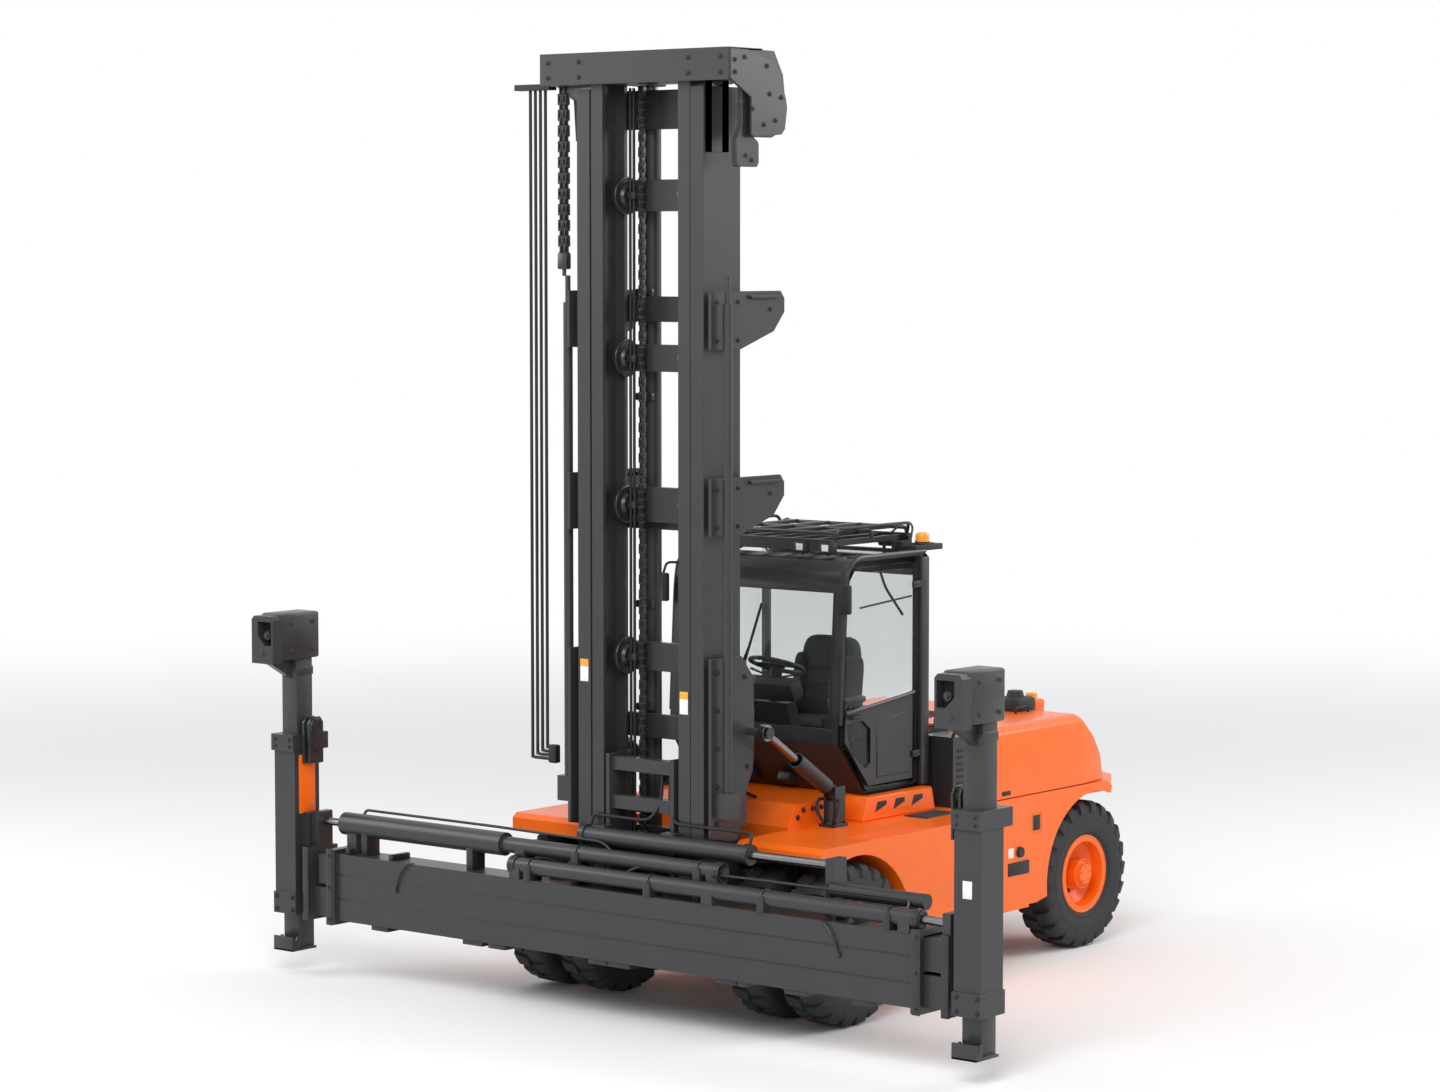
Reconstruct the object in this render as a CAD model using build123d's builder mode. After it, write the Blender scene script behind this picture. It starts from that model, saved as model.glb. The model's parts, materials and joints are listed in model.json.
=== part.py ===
"""Empty container handler: a counterbalanced truck with a two-stage mast and a side spreader.

X points to the machine's left, -Y is forward, +Z is up, and the floor is Z = 0.
All lengths are in millimetres. Places along Y are distances behind the foremost point.
"""

import os

from build123d import *

os.makedirs("parts", exist_ok=True)

# Driving dimensions of the whole machine
overall_length = 5250
front_axle_aft = 1250
wheelbase = 3400
slide_gap = 0.3
run_gap = 5
overrun = 50

# Tyres and rims
tyre_radius = 542.5
tyre_width = 300
tread_shoulder = 22
bead_radius = 254
flange_radius = 286
rim_width = 216
rim_wall = 14
inner_twin_x = 752
outer_twin_x = 1190
rear_wheel_x = 735

# Axles, knuckles and spindles
front_tube_radius = 105
diff_radius = 210
hub_radius = 108
spindle_radius = 45
bearing_gap = 0.05
kingpin_x = 560
kingpin_radius = 28
steer_beam_depth = 120
steer_beam_height = 150
yoke_thick = 28
yoke_half_height = 112
trunnion_radius = 50

# Mast uprights
mast_front_aft = 620
mast_foot_z = 350
upright_top_z = 6170
web_thick = 30
flange_thick = 30
outer_web_x = 545
outer_flange_width = 110
channel_depth = 265
rear_tube_depth = 115
inner_web_x = 425
inner_flange_width = 100
inner_inset = 5
inner_web_thick = 25
inner_foot_z = 400
tilt_axis_aft = 1060
tilt_axis_z = 560
tilt_pin_radius = 35

# Top beam of the inner mast
top_beam_x = 810
top_beam_aft = 550
top_beam_depth = 350
top_beam_z = 6200
top_beam_height = 210
plate_thick = 25

# Spreader: main beam, end beams and posts
beam_x = 2530
beam_aft = 280
beam_depth = 230
beam_z = 420
beam_height = 470
beam_wall = 12
collar_width = 70
collar_proud = 30
reach = 3066
end_flange_x = 2740
end_flange_thick = 60
sleeve_x = 2850
sleeve_width = 200
sleeve_aft = 220
sleeve_depth = 240
sleeve_z = 500
sleeve_top = 1700
post_width = 150
post_depth = 160
post_aft = 270
foot_z = 165
post_top = 2240
head_z = 2220
head_height = 350
side_shift = 300

# Cab
cab_x = 740
cab_floor_z = 1390
cab_roof_z = 2990
cab_wall = 40
glass_thick = 8


def aft(distance):
    """Y of the plane that lies this far behind the foremost point."""
    return distance - overall_length / 2


def block(x_span, y_span, z_span, mode=Mode.ADD):
    """A plate or bar between two limits on each axis."""
    middle = [(low + high) / 2 for low, high in (x_span, y_span, z_span)]
    with Locations(tuple(middle)):
        Box(x_span[1] - x_span[0], y_span[1] - y_span[0], z_span[1] - z_span[0], mode=mode)


def bar(start, end, radius, mode=Mode.ADD):
    """A round bar, or a bore, between two points."""
    run = Vector(*end) - Vector(*start)
    with BuildSketch(Plane(origin=start, z_dir=run)) as round_section:
        Circle(radius)
    extrude(round_section.sketch, amount=run.length, mode=mode)


def plate(plane, outline, thickness, mode=Mode.ADD):
    """A flat plate of the given outline."""
    with BuildSketch(plane) as plate_section:
        with BuildLine():
            Polyline(*outline, close=True)
        make_face()
    extrude(plate_section.sketch, amount=thickness, mode=mode)


def side_plate(x_low, x_high, outline, mode=Mode.ADD):
    """A plate that stands fore and aft: its outline is in places aft and heights."""
    points = [(aft(back), up) for back, up in outline]
    plate(Plane.YZ.offset(x_low), points, x_high - x_low, mode)


def keep(part_builder, name):
    """Label the piece and write its file."""
    part_builder.part.label = name
    export_step(part_builder.part, f"parts/{name}.step")


def spun(place, outline, mode=Mode.ADD):
    """Turn an outline of (x, radius) points about an axis along X through the place."""
    with BuildSketch(Plane(origin=place, x_dir=(1, 0, 0), z_dir=(0, -1, 0))) as half_section:
        with BuildLine():
            Polyline(*outline, close=True)
        make_face()
    revolve(half_section.sketch, axis=Axis(place, (1, 0, 0)), mode=mode)


front_axle_y = aft(front_axle_aft)
rear_axle_y = aft(front_axle_aft + wheelbase)
axle_z = tyre_radius
sides = (("left", 1), ("right", -1))

# Wheels: tyres with a rounded crown, rims with a dished disc
half_tyre = tyre_width / 2
half_rim = rim_width / 2
rim_bore = bead_radius - rim_wall
tyre_outline = [
    (-half_rim + slide_gap, bead_radius),
    (-half_rim + slide_gap, flange_radius + slide_gap),
    (-half_rim - rim_wall, flange_radius + rim_wall),
    (-half_tyre, (bead_radius + tyre_radius) / 2),
    (-half_tyre + tread_shoulder / 2, tyre_radius - tread_shoulder),
    (-half_tyre + 2 * tread_shoulder, tyre_radius),
    (half_tyre - 2 * tread_shoulder, tyre_radius),
    (half_tyre - tread_shoulder / 2, tyre_radius - tread_shoulder),
    (half_tyre, (bead_radius + tyre_radius) / 2),
    (half_rim + rim_wall, flange_radius + rim_wall),
    (half_rim - slide_gap, flange_radius + slide_gap),
    (half_rim - slide_gap, bead_radius),
]
rim_outline = [
    (-half_rim - rim_wall, flange_radius),
    (-half_rim, flange_radius),
    (-half_rim, bead_radius - slide_gap),
    (half_rim, bead_radius - slide_gap),
    (half_rim, flange_radius),
    (half_rim + rim_wall, flange_radius),
    (half_rim + rim_wall, rim_bore),
    (-half_rim - rim_wall, rim_bore),
]
twin_disc_x = (inner_twin_x + outer_twin_x) / 2
hub_end_x = outer_twin_x
spindle_end_x = hub_end_x - 2 * rim_wall
hub_start_x = inner_twin_x - half_rim + 2 * rim_wall
rear_disc_x = rear_wheel_x + rim_wall
rear_hub_end_x = rear_wheel_x + half_rim
rear_spindle_end_x = rear_hub_end_x - 2 * rim_wall
knuckle_face_x = rear_wheel_x - half_rim + 2 * rim_wall

for side, hand in sides:
    with BuildPart() as front_tyres:
        for wheel_x in (inner_twin_x, outer_twin_x):
            spun((hand * wheel_x, front_axle_y, axle_z), tyre_outline)
    keep(front_tyres, f"front_tyres_{side}")

    with BuildPart() as front_rims:
        for wheel_x in (inner_twin_x, outer_twin_x):
            spun((hand * wheel_x, front_axle_y, axle_z), rim_outline)
        disc_from = (hand * (inner_twin_x + half_rim), front_axle_y, axle_z)
        disc_to = (hand * (outer_twin_x - half_rim), front_axle_y, axle_z)
        bar(disc_from, disc_to, bead_radius)
        bar(
            (hand * hub_start_x, front_axle_y, axle_z),
            (hand * hub_end_x, front_axle_y, axle_z),
            hub_radius,
        )
        bar(
            (hand * (hub_start_x - overrun), front_axle_y, axle_z),
            (hand * (spindle_end_x + slide_gap), front_axle_y, axle_z),
            spindle_radius + bearing_gap,
            mode=Mode.SUBTRACT,
        )
    keep(front_rims, f"front_rims_{side}")

    with BuildPart() as rear_tyre:
        spun((hand * rear_wheel_x, rear_axle_y, axle_z), tyre_outline)
    keep(rear_tyre, f"rear_tyre_{side}")

    with BuildPart() as rear_rim:
        spun((hand * rear_wheel_x, rear_axle_y, axle_z), rim_outline)
        bar(
            (hand * (rear_disc_x - rim_wall), rear_axle_y, axle_z),
            (hand * (rear_disc_x + rim_wall), rear_axle_y, axle_z),
            bead_radius - rim_wall / 2,
        )
        bar(
            (hand * (knuckle_face_x + slide_gap), rear_axle_y, axle_z),
            (hand * rear_hub_end_x, rear_axle_y, axle_z),
            hub_radius,
        )
        bar(
            (hand * knuckle_face_x, rear_axle_y, axle_z),
            (hand * (rear_spindle_end_x + slide_gap), rear_axle_y, axle_z),
            spindle_radius + bearing_gap,
            mode=Mode.SUBTRACT,
        )
    keep(rear_rim, f"rear_rim_{side}")

    # Steering knuckle: a fork above and below the axle end, with the wheel's spindle
    fork_x = sorted((hand * (kingpin_x - 2 * kingpin_radius), hand * knuckle_face_x))
    face_x = sorted((hand * (knuckle_face_x - yoke_thick), hand * knuckle_face_x))
    fork_y = (rear_axle_y - 2 * kingpin_radius, rear_axle_y + 2 * kingpin_radius)
    with BuildPart() as knuckle:
        block(face_x, fork_y, (axle_z - yoke_half_height, axle_z + yoke_half_height))
        for level in (-1, 1):
            fork_z = sorted(
                (
                    axle_z + level * yoke_half_height,
                    axle_z + level * (yoke_half_height - yoke_thick),
                )
            )
            block(fork_x, fork_y, fork_z)
        bar(
            (hand * (knuckle_face_x - yoke_thick), rear_axle_y, axle_z),
            (hand * rear_spindle_end_x, rear_axle_y, axle_z),
            spindle_radius,
        )
        bar(
            (hand * kingpin_x, rear_axle_y, axle_z - yoke_half_height - yoke_thick),
            (hand * kingpin_x, rear_axle_y, axle_z + yoke_half_height + yoke_thick),
            kingpin_radius + bearing_gap,
            mode=Mode.SUBTRACT,
        )
    keep(knuckle, f"knuckle_{side}")

# Front drive axle: tube, differential bulge and the spindles that the twin wheels turn on
with BuildPart() as front_axle:
    bar(
        (-hub_start_x + slide_gap, front_axle_y, axle_z),
        (hub_start_x - slide_gap, front_axle_y, axle_z),
        front_tube_radius,
    )
    with Locations((0, front_axle_y, axle_z)):
        Sphere(diff_radius)
    bar(
        (-spindle_end_x, front_axle_y, axle_z),
        (spindle_end_x, front_axle_y, axle_z),
        spindle_radius,
    )
keep(front_axle, "front_axle")

# Steer axle: a box beam with a boss and kingpin at each end
boss_half_height = yoke_half_height - yoke_thick - slide_gap
beam_half_depth = steer_beam_depth / 2
boss_clear_x = kingpin_x + 2 * kingpin_radius - run_gap
steer_beam_end_x = kingpin_x
with BuildPart() as steer_axle:
    block(
        (-steer_beam_end_x, steer_beam_end_x),
        (rear_axle_y - 2 * kingpin_radius, rear_axle_y + 2 * kingpin_radius),
        (axle_z - steer_beam_height / 2, axle_z + steer_beam_height / 2),
    )
    bar((0, rear_axle_y - 140, axle_z), (0, rear_axle_y + 140, axle_z), trunnion_radius)
    for hand in (-1, 1):
        bar(
            (hand * kingpin_x, rear_axle_y, axle_z - boss_half_height),
            (hand * kingpin_x, rear_axle_y, axle_z + boss_half_height),
            2 * kingpin_radius,
        )
        bar(
            (hand * kingpin_x, rear_axle_y, axle_z - yoke_half_height),
            (hand * kingpin_x, rear_axle_y, axle_z + yoke_half_height),
            kingpin_radius,
        )
keep(steer_axle, "steer_axle")

# Outer mast: two channels that open inwards, a box tube behind each, and cross members
flange_back_aft = mast_front_aft + channel_depth
tube_back_aft = flange_back_aft + rear_tube_depth
outer_flange_x = outer_web_x - outer_flange_width
rear_tube_x = outer_web_x - 1.5 * web_thick - outer_flange_width / 2
channel_outline = [
    (outer_flange_x, mast_front_aft),
    (outer_web_x, mast_front_aft),
    (outer_web_x, tube_back_aft),
    (rear_tube_x, tube_back_aft),
    (rear_tube_x, flange_back_aft),
    (outer_flange_x, flange_back_aft),
    (outer_flange_x, flange_back_aft - flange_thick),
    (outer_web_x - web_thick, flange_back_aft - flange_thick),
    (outer_web_x - web_thick, mast_front_aft + flange_thick),
    (outer_flange_x, mast_front_aft + flange_thick),
]
cross_front_aft = tube_back_aft - 3 * web_thick / 2
# Cross members of the outer mast: bottom height, top height
outer_cross_table = [(520, 760), (1830, 1990), (3240, 3400), (4630, 4800), (5910, 6170)]
# Side plates that carry the tilt pins, and the two hose guards above: (place aft, height)
side_plate_x = 600
side_plate_thick = 25
tilt_plate_outline = [
    (602, 2440), (915, 2440), (1035, 2300), (1050, 2060), (1050, 1800),
    (1035, 1670), (930, 1480), (875, 1210), (602, 1255),
]
guard_heights = (3240, 4460)
guard_shape = [(0, 0), (304, 0), (654, 113), (768, 240), (768, 330), (728, 380), (0, 380)]
guard_aft = 602
cylinder_x = 290
cylinder_aft = 1095
barrel_radius = 62
barrel_bore = 50
lift_rod_radius = 42
barrel_foot_z = 760
barrel_top_z = 5930
hinge_plate_width = 90
hinge_inner_x = 455
pin_plate_x = 660
mast_pin_aft = 996
mast_pin_z = 1931
mast_pin_radius = 25
chassis_pin_aft = 1758
chassis_pin_z = 1442
tilt_cylinder_x = 760

with BuildPart() as outer_mast:
    for hand in (-1, 1):
        plate(
            Plane.XY.offset(mast_foot_z),
            [(hand * x, aft(back)) for x, back in channel_outline],
            upright_top_z - mast_foot_z,
        )
        hinge_x = sorted((hand * hinge_inner_x, hand * outer_web_x))
        block(
            hinge_x,
            (aft(tube_back_aft), aft(tilt_axis_aft)),
            (tilt_axis_z - 2 * tilt_pin_radius, tilt_axis_z + 2 * tilt_pin_radius),
        )
        bar(
            (hinge_x[0], aft(tilt_axis_aft), tilt_axis_z),
            (hinge_x[1], aft(tilt_axis_aft), tilt_axis_z),
            2 * tilt_pin_radius,
        )
        bar(
            (hinge_x[0] - overrun, aft(tilt_axis_aft), tilt_axis_z),
            (hinge_x[1] + overrun, aft(tilt_axis_aft), tilt_axis_z),
            tilt_pin_radius + bearing_gap,
            mode=Mode.SUBTRACT,
        )
        plate_x = sorted((hand * side_plate_x, hand * (side_plate_x + side_plate_thick)))
        spacer_x = sorted((hand * outer_web_x, hand * side_plate_x))
        side_plate(plate_x[0], plate_x[1], tilt_plate_outline)
        block(spacer_x, (aft(flange_back_aft), aft(tube_back_aft)), (1300, 2400))
        for guard_z in guard_heights:
            guard = [(guard_aft + back, guard_z + up) for back, up in guard_shape]
            side_plate(plate_x[0], plate_x[1], guard)
            block(
                spacer_x,
                (aft(flange_back_aft), aft(tube_back_aft)),
                (guard_z + 60, guard_z + 320),
            )
        pin_x = sorted((hand * side_plate_x, hand * (tilt_cylinder_x + 40)))
        bar(
            (pin_x[0], aft(mast_pin_aft), mast_pin_z),
            (pin_x[1], aft(mast_pin_aft), mast_pin_z),
            mast_pin_radius,
        )
    for low_z, high_z in outer_cross_table:
        block((-rear_tube_x, rear_tube_x), (aft(cross_front_aft), aft(tube_back_aft)), (low_z, high_z))
    for hand in (-1, 1):
        foot_x = sorted((hand * (cylinder_x - 80), hand * (cylinder_x + 80)))
        block(foot_x, (aft(cross_front_aft), aft(cylinder_aft + 70)), (barrel_foot_z - 60, barrel_foot_z))
keep(outer_mast, "outer_mast")

with BuildPart() as lift_barrels:
    for hand in (-1, 1):
        base = (hand * cylinder_x, aft(cylinder_aft), barrel_foot_z)
        top = (hand * cylinder_x, aft(cylinder_aft), barrel_top_z)
        bore_base = (hand * cylinder_x, aft(cylinder_aft), barrel_foot_z + 40)
        bar(base, top, barrel_radius)
        bar(bore_base, (top[0], top[1], barrel_top_z + overrun), barrel_bore, mode=Mode.SUBTRACT)
keep(lift_barrels, "lift_barrels")

# Inner mast: channels inside the outer ones, cross members, rollers and the wide top beam
inner_front_aft = mast_front_aft + inner_inset
inner_back_aft = flange_back_aft - inner_inset
inner_flange_x = inner_web_x - inner_flange_width
inner_outline = [
    (inner_flange_x, inner_front_aft),
    (inner_web_x, inner_front_aft),
    (inner_web_x, inner_back_aft),
    (inner_flange_x, inner_back_aft),
    (inner_flange_x, inner_back_aft - flange_thick),
    (inner_web_x - inner_web_thick, inner_back_aft - flange_thick),
    (inner_web_x - inner_web_thick, inner_front_aft + flange_thick),
    (inner_flange_x, inner_front_aft + flange_thick),
]
roller_aft = mast_front_aft + channel_depth / 2
mast_roller_radius = channel_depth / 2 - flange_thick - slide_gap
roller_heights = (700, 1500)
roller_x_low = inner_web_x + 2 * run_gap
roller_x_high = outer_web_x - web_thick - run_gap
disc_radius = 125
disc_thick = 25
disc_front_aft = 785
disc_middle_aft = 865
cross_depth = 65
# Cross members of the inner mast: middle height, height of the section
inner_cross_table = [(1150, 180), (2390, 190), (3410, 235), (4390, 180), (5470, 210)]
cheek_outline = [
    (630, 6410), (620, 6220), (835, 6110), (856, 5840), (1060, 5840), (1150, 5880),
    (1214, 6025), (1180, 6250), (1086, 6404),
]
cheek_x = 760
rod_head_z = 6260

with BuildPart() as inner_mast:
    for hand in (-1, 1):
        plate(
            Plane.XY.offset(inner_foot_z),
            [(hand * x, aft(back)) for x, back in inner_outline],
            top_beam_z - inner_foot_z,
        )
        for roller_z in roller_heights:
            bar(
                (hand * roller_x_low, aft(roller_aft), roller_z),
                (hand * roller_x_high, aft(roller_aft), roller_z),
                mast_roller_radius,
            )
            bar(
                (hand * (inner_web_x - 2), aft(roller_aft), roller_z),
                (hand * (roller_x_low + 2), aft(roller_aft), roller_z),
                tilt_pin_radius,
            )
    for middle_z, section in inner_cross_table:
        block(
            (-inner_flange_x, inner_flange_x),
            (aft(inner_back_aft), aft(inner_back_aft + cross_depth)),
            (middle_z - section / 2, middle_z + section / 2),
        )
        for hand in (-1, 1):
            disc_x = sorted((hand * inner_flange_x, hand * (inner_flange_x - disc_thick)))
            disc_half = inner_back_aft + cross_depth - disc_middle_aft
            round_z = disc_radius - disc_half
            for up in (-1, 1):
                disc_from = (disc_x[0], aft(disc_middle_aft), middle_z + up * round_z)
                disc_to = (disc_x[1], aft(disc_middle_aft), middle_z + up * round_z)
                bar(disc_from, disc_to, disc_half)
            block(
                disc_x,
                (aft(disc_front_aft), aft(inner_back_aft + cross_depth)),
                (middle_z - round_z, middle_z + round_z),
            )
    top_back_aft = top_beam_aft + top_beam_depth
    block(
        (-top_beam_x, top_beam_x),
        (aft(top_beam_aft), aft(top_back_aft)),
        (top_beam_z, top_beam_z + top_beam_height),
    )
    block(
        (-top_beam_x + plate_thick, top_beam_x - plate_thick),
        (aft(top_beam_aft + plate_thick), aft(top_back_aft - plate_thick)),
        (top_beam_z + plate_thick, top_beam_z + top_beam_height - plate_thick),
        mode=Mode.SUBTRACT,
    )
    for hand in (-1, 1):
        cheek_span = sorted((hand * (cheek_x - plate_thick), hand * cheek_x))
        side_plate(cheek_span[0], cheek_span[1], cheek_outline)
        head_x = sorted((hand * (cylinder_x - 60), hand * (cylinder_x + 60)))
        block(head_x, (aft(top_back_aft), aft(cylinder_aft + 60)), (top_beam_z, rod_head_z))
keep(inner_mast, "inner_mast")

lift_rod_foot_z = 1300
with BuildPart() as lift_rods:
    for hand in (-1, 1):
        bar(
            (hand * cylinder_x, aft(cylinder_aft), lift_rod_foot_z),
            (hand * cylinder_x, aft(cylinder_aft), top_beam_z),
            lift_rod_radius,
        )
        bar(
            (hand * cylinder_x, aft(cylinder_aft), lift_rod_foot_z - 60),
            (hand * cylinder_x, aft(cylinder_aft), lift_rod_foot_z),
            barrel_bore - slide_gap,
        )
keep(lift_rods, "lift_rods")

# Chains on the left of the mast, and their anchor rods below
chain_x = 690
chain_aft = 690
chain_foot_z = 5000
with BuildPart() as lift_chains:
    for hand in (-1, 1):
        for strand in (-1, 1):
            strand_x = hand * chain_x + strand * 22
            block(
                (strand_x - 16, strand_x + 16),
                (aft(chain_aft - 20), aft(chain_aft + 20)),
                (chain_foot_z, top_beam_z),
            )
        block(
            (hand * chain_x - 40, hand * chain_x + 40),
            (aft(chain_aft - 22), aft(chain_aft + 22)),
            (chain_foot_z - 60, chain_foot_z),
        )
keep(lift_chains, "lift_chains")

anchor_foot_z = 1560
with BuildPart() as chain_anchors:
    for hand in (-1, 1):
        bar(
            (hand * chain_x, aft(chain_aft), anchor_foot_z),
            (hand * chain_x, aft(chain_aft), chain_foot_z - 60 - slide_gap),
            18,
        )
        bar(
            (hand * chain_x, aft(chain_aft), anchor_foot_z),
            (hand * chain_x, aft(chain_aft), 4760),
            32,
        )
        lug_x = sorted((hand * (side_plate_x + side_plate_thick), hand * (chain_x + 60)))
        block(lug_x, (aft(chain_aft - 55), aft(chain_aft + 55)), (anchor_foot_z - 170, anchor_foot_z))
keep(chain_anchors, "chain_anchors")

# Hose lines: four steel lines from the top beam down to the block on the mast's side
hose_radius = 11
hose_aft = 700
hose_xs = (-1030, -985, -940, -895)
hose_top_z = 6180
hose_foot_z = 1650
with BuildPart() as hose_lines:
    for number, line_x in enumerate(hose_xs):
        turn_z = hose_foot_z - number * 1.0 + number * 26
        bar((line_x, aft(hose_aft), turn_z), (line_x, aft(hose_aft), hose_top_z), hose_radius)
    block((-1140, -830), (aft(660), aft(740)), (hose_top_z, hose_top_z + 40))
    block((-860, -top_beam_x), (aft(660), aft(740)), (top_beam_z + 10, top_beam_z + 120))
keep(hose_lines, "hose_lines")

# Carriage: roller plates inside the inner mast and the frame that the spreader slides on
carriage_x = 265
carriage_z = 450
carriage_top_z = 1750
carriage_back_aft = 870
frame_aft = 520
frame_depth = 75
frame_x = 960
rail_height = 80
rail_heights = (430, 800)
carriage_roller_radius = (channel_depth - 2 * inner_inset) / 2 - flange_thick - slide_gap
shift_aft = 535
shift_z = 1200
shift_barrel_radius = 60
shift_bore = 48
shift_rod_radius = 30
shift_x_low = -430
shift_x_high = 1010

cradle_aft = 612
wall_outline = [
    (frame_aft, rail_heights[0]),
    (carriage_back_aft, carriage_z),
    (carriage_back_aft, carriage_top_z),
    (cradle_aft, carriage_top_z),
    (cradle_aft, rail_heights[1] + rail_height),
    (frame_aft, rail_heights[1] + rail_height),
]
wall_x_high = carriage_x + 30

with BuildPart() as carriage:
    for hand in (-1, 1):
        wall_x = sorted((hand * carriage_x, hand * wall_x_high))
        side_plate(wall_x[0], wall_x[1], wall_outline)
        for roller_z in (carriage_z + 150, carriage_top_z - 150):
            bar(
                (hand * (inner_flange_x + run_gap), aft(roller_aft), roller_z),
                (hand * (inner_web_x - inner_web_thick - run_gap), aft(roller_aft), roller_z),
                carriage_roller_radius,
            )
            bar(
                (hand * (wall_x_high - 2), aft(roller_aft), roller_z),
                (hand * (inner_flange_x + run_gap + 2), aft(roller_aft), roller_z),
                22,
            )
    for rail_z in rail_heights:
        block(
            (-frame_x, frame_x),
            (aft(frame_aft), aft(frame_aft + frame_depth)),
            (rail_z, rail_z + rail_height),
        )
    for upright_x in (-frame_x + 60, -carriage_x - 15, carriage_x + 15, frame_x - 60):
        block(
            (upright_x - 45, upright_x + 45),
            (aft(frame_aft), aft(frame_aft + frame_depth)),
            (rail_heights[0], rail_heights[1]),
        )
    for bar_z in (1060, 1380, 1640):
        block((-carriage_x, carriage_x), (aft(640), aft(720)), (bar_z, bar_z + 90))
keep(carriage, "carriage")

# Side shift cylinder: its barrel lies in two cradles on the carriage
with BuildPart() as shift_barrel:
    bar(
        (shift_x_low, aft(shift_aft), shift_z),
        (shift_x_high, aft(shift_aft), shift_z),
        shift_barrel_radius,
    )
    for hand in (-1, 1):
        cradle_x = sorted((hand * (carriage_x - 20), hand * (wall_x_high + 60)))
        block(cradle_x, (aft(shift_aft), aft(cradle_aft)), (shift_z - 70, shift_z + 70))
    bar(
        (shift_x_low + 40, aft(shift_aft), shift_z),
        (shift_x_high + overrun, aft(shift_aft), shift_z),
        shift_bore,
        mode=Mode.SUBTRACT,
    )
keep(shift_barrel, "shift_barrel")

# Spreader main beam: two compartments, one over the other, for the two end beams
beam_front_y = aft(beam_aft)
beam_back_y = aft(beam_aft + beam_depth)
beam_top_z = beam_z + beam_height
middle_z = beam_z + beam_height / 2
upper_floor_z = middle_z + beam_wall / 2
lower_roof_z = middle_z - beam_wall / 2
beam_inside_y = (beam_front_y + beam_wall, beam_back_y - beam_wall)
# Cylinders that push the end beams out: place aft, height
left_reach_place = (325, 975)
right_reach_place = (412, 1088)
reach_barrel_radius = 55
reach_bore = 46
reach_rod_radius = 28
reach_barrel_low = -880
reach_barrel_high = 2540
sleeve_tube_radius = 80
hook_x = 600
hook_width = 120
hook_z = rail_heights[1] + rail_height + slide_gap
shift_eye_x = 1720

with BuildPart() as spreader_beam:
    block((-beam_x, beam_x), (beam_front_y, beam_back_y), (beam_z, beam_top_z))
    for collar_hand in (-1, 1):
        collar_span = sorted((collar_hand * (beam_x - 30), collar_hand * (beam_x - 30 + collar_width)))
        block(
            collar_span,
            (beam_front_y - collar_proud, beam_back_y + 5),
            (beam_z - collar_proud, beam_top_z + collar_proud),
        )
    for low_z, high_z in (
        (beam_z + beam_wall, lower_roof_z),
        (upper_floor_z, beam_top_z - beam_wall),
    ):
        block(
            (-beam_x - collar_width, beam_x + collar_width),
            beam_inside_y,
            (low_z, high_z),
            mode=Mode.SUBTRACT,
        )
    for hook_hand in (-1, 1):
        hook_span = (hook_hand * hook_x - hook_width / 2, hook_hand * hook_x + hook_width / 2)
        block(
            hook_span,
            (beam_back_y - 60, aft(frame_aft + frame_depth - 10)),
            (hook_z, hook_z + 40),
        )
        block(hook_span, (beam_back_y - 60, beam_back_y), (beam_top_z - 2, hook_z + 40))
    eye_span = (shift_eye_x - 30, shift_eye_x + 30)
    block(eye_span, (beam_back_y - 70, beam_back_y), (beam_top_z, shift_z - 40))
    block(eye_span, (beam_back_y - 70, aft(shift_aft + 50)), (shift_z - 100, shift_z + 55))
    for pad_x in (-1230, -60, 1070, 1560):
        block((pad_x - 90, pad_x + 90), (beam_front_y + 20, beam_back_y - 20), (beam_z - 35, beam_z))
keep(spreader_beam, "spreader_beam")

# Barrels of the reach cylinders with their saddles on the beam
with BuildPart() as reach_barrels:
    for cylinder_hand, place in ((1, left_reach_place), (-1, right_reach_place)):
        cylinder_y = aft(place[0])
        low_end = (cylinder_hand * reach_barrel_low, cylinder_y, place[1])
        high_end = (cylinder_hand * reach_barrel_high, cylinder_y, place[1])
        bar(low_end, high_end, reach_barrel_radius)
        for saddle_x in (reach_barrel_low + 60, 850, reach_barrel_high - 110):
            saddle_span = (cylinder_hand * saddle_x - 45, cylinder_hand * saddle_x + 45)
            block(
                saddle_span,
                (cylinder_y - reach_barrel_radius, cylinder_y + reach_barrel_radius),
                (beam_top_z, place[1]),
            )
    bar(
        (-reach_barrel_high, aft(right_reach_place[0]), right_reach_place[1]),
        (-1020, aft(right_reach_place[0]), right_reach_place[1]),
        sleeve_tube_radius,
    )
    for cylinder_hand, place in ((1, left_reach_place), (-1, right_reach_place)):
        bar(
            (cylinder_hand * (reach_barrel_low + 40), aft(place[0]), place[1]),
            (cylinder_hand * (reach_barrel_high + overrun), aft(place[0]), place[1]),
            reach_bore,
            mode=Mode.SUBTRACT,
        )
keep(reach_barrels, "reach_barrels")

shift_rod_x = -80
with BuildPart() as shift_rod:
    bar((shift_rod_x, aft(shift_aft), shift_z), (shift_eye_x - 30, aft(shift_aft), shift_z), shift_rod_radius)
    bar(
        (shift_rod_x, aft(shift_aft), shift_z),
        (shift_rod_x + 60, aft(shift_aft), shift_z),
        shift_bore - slide_gap,
    )
keep(shift_rod, "shift_rod")

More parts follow.
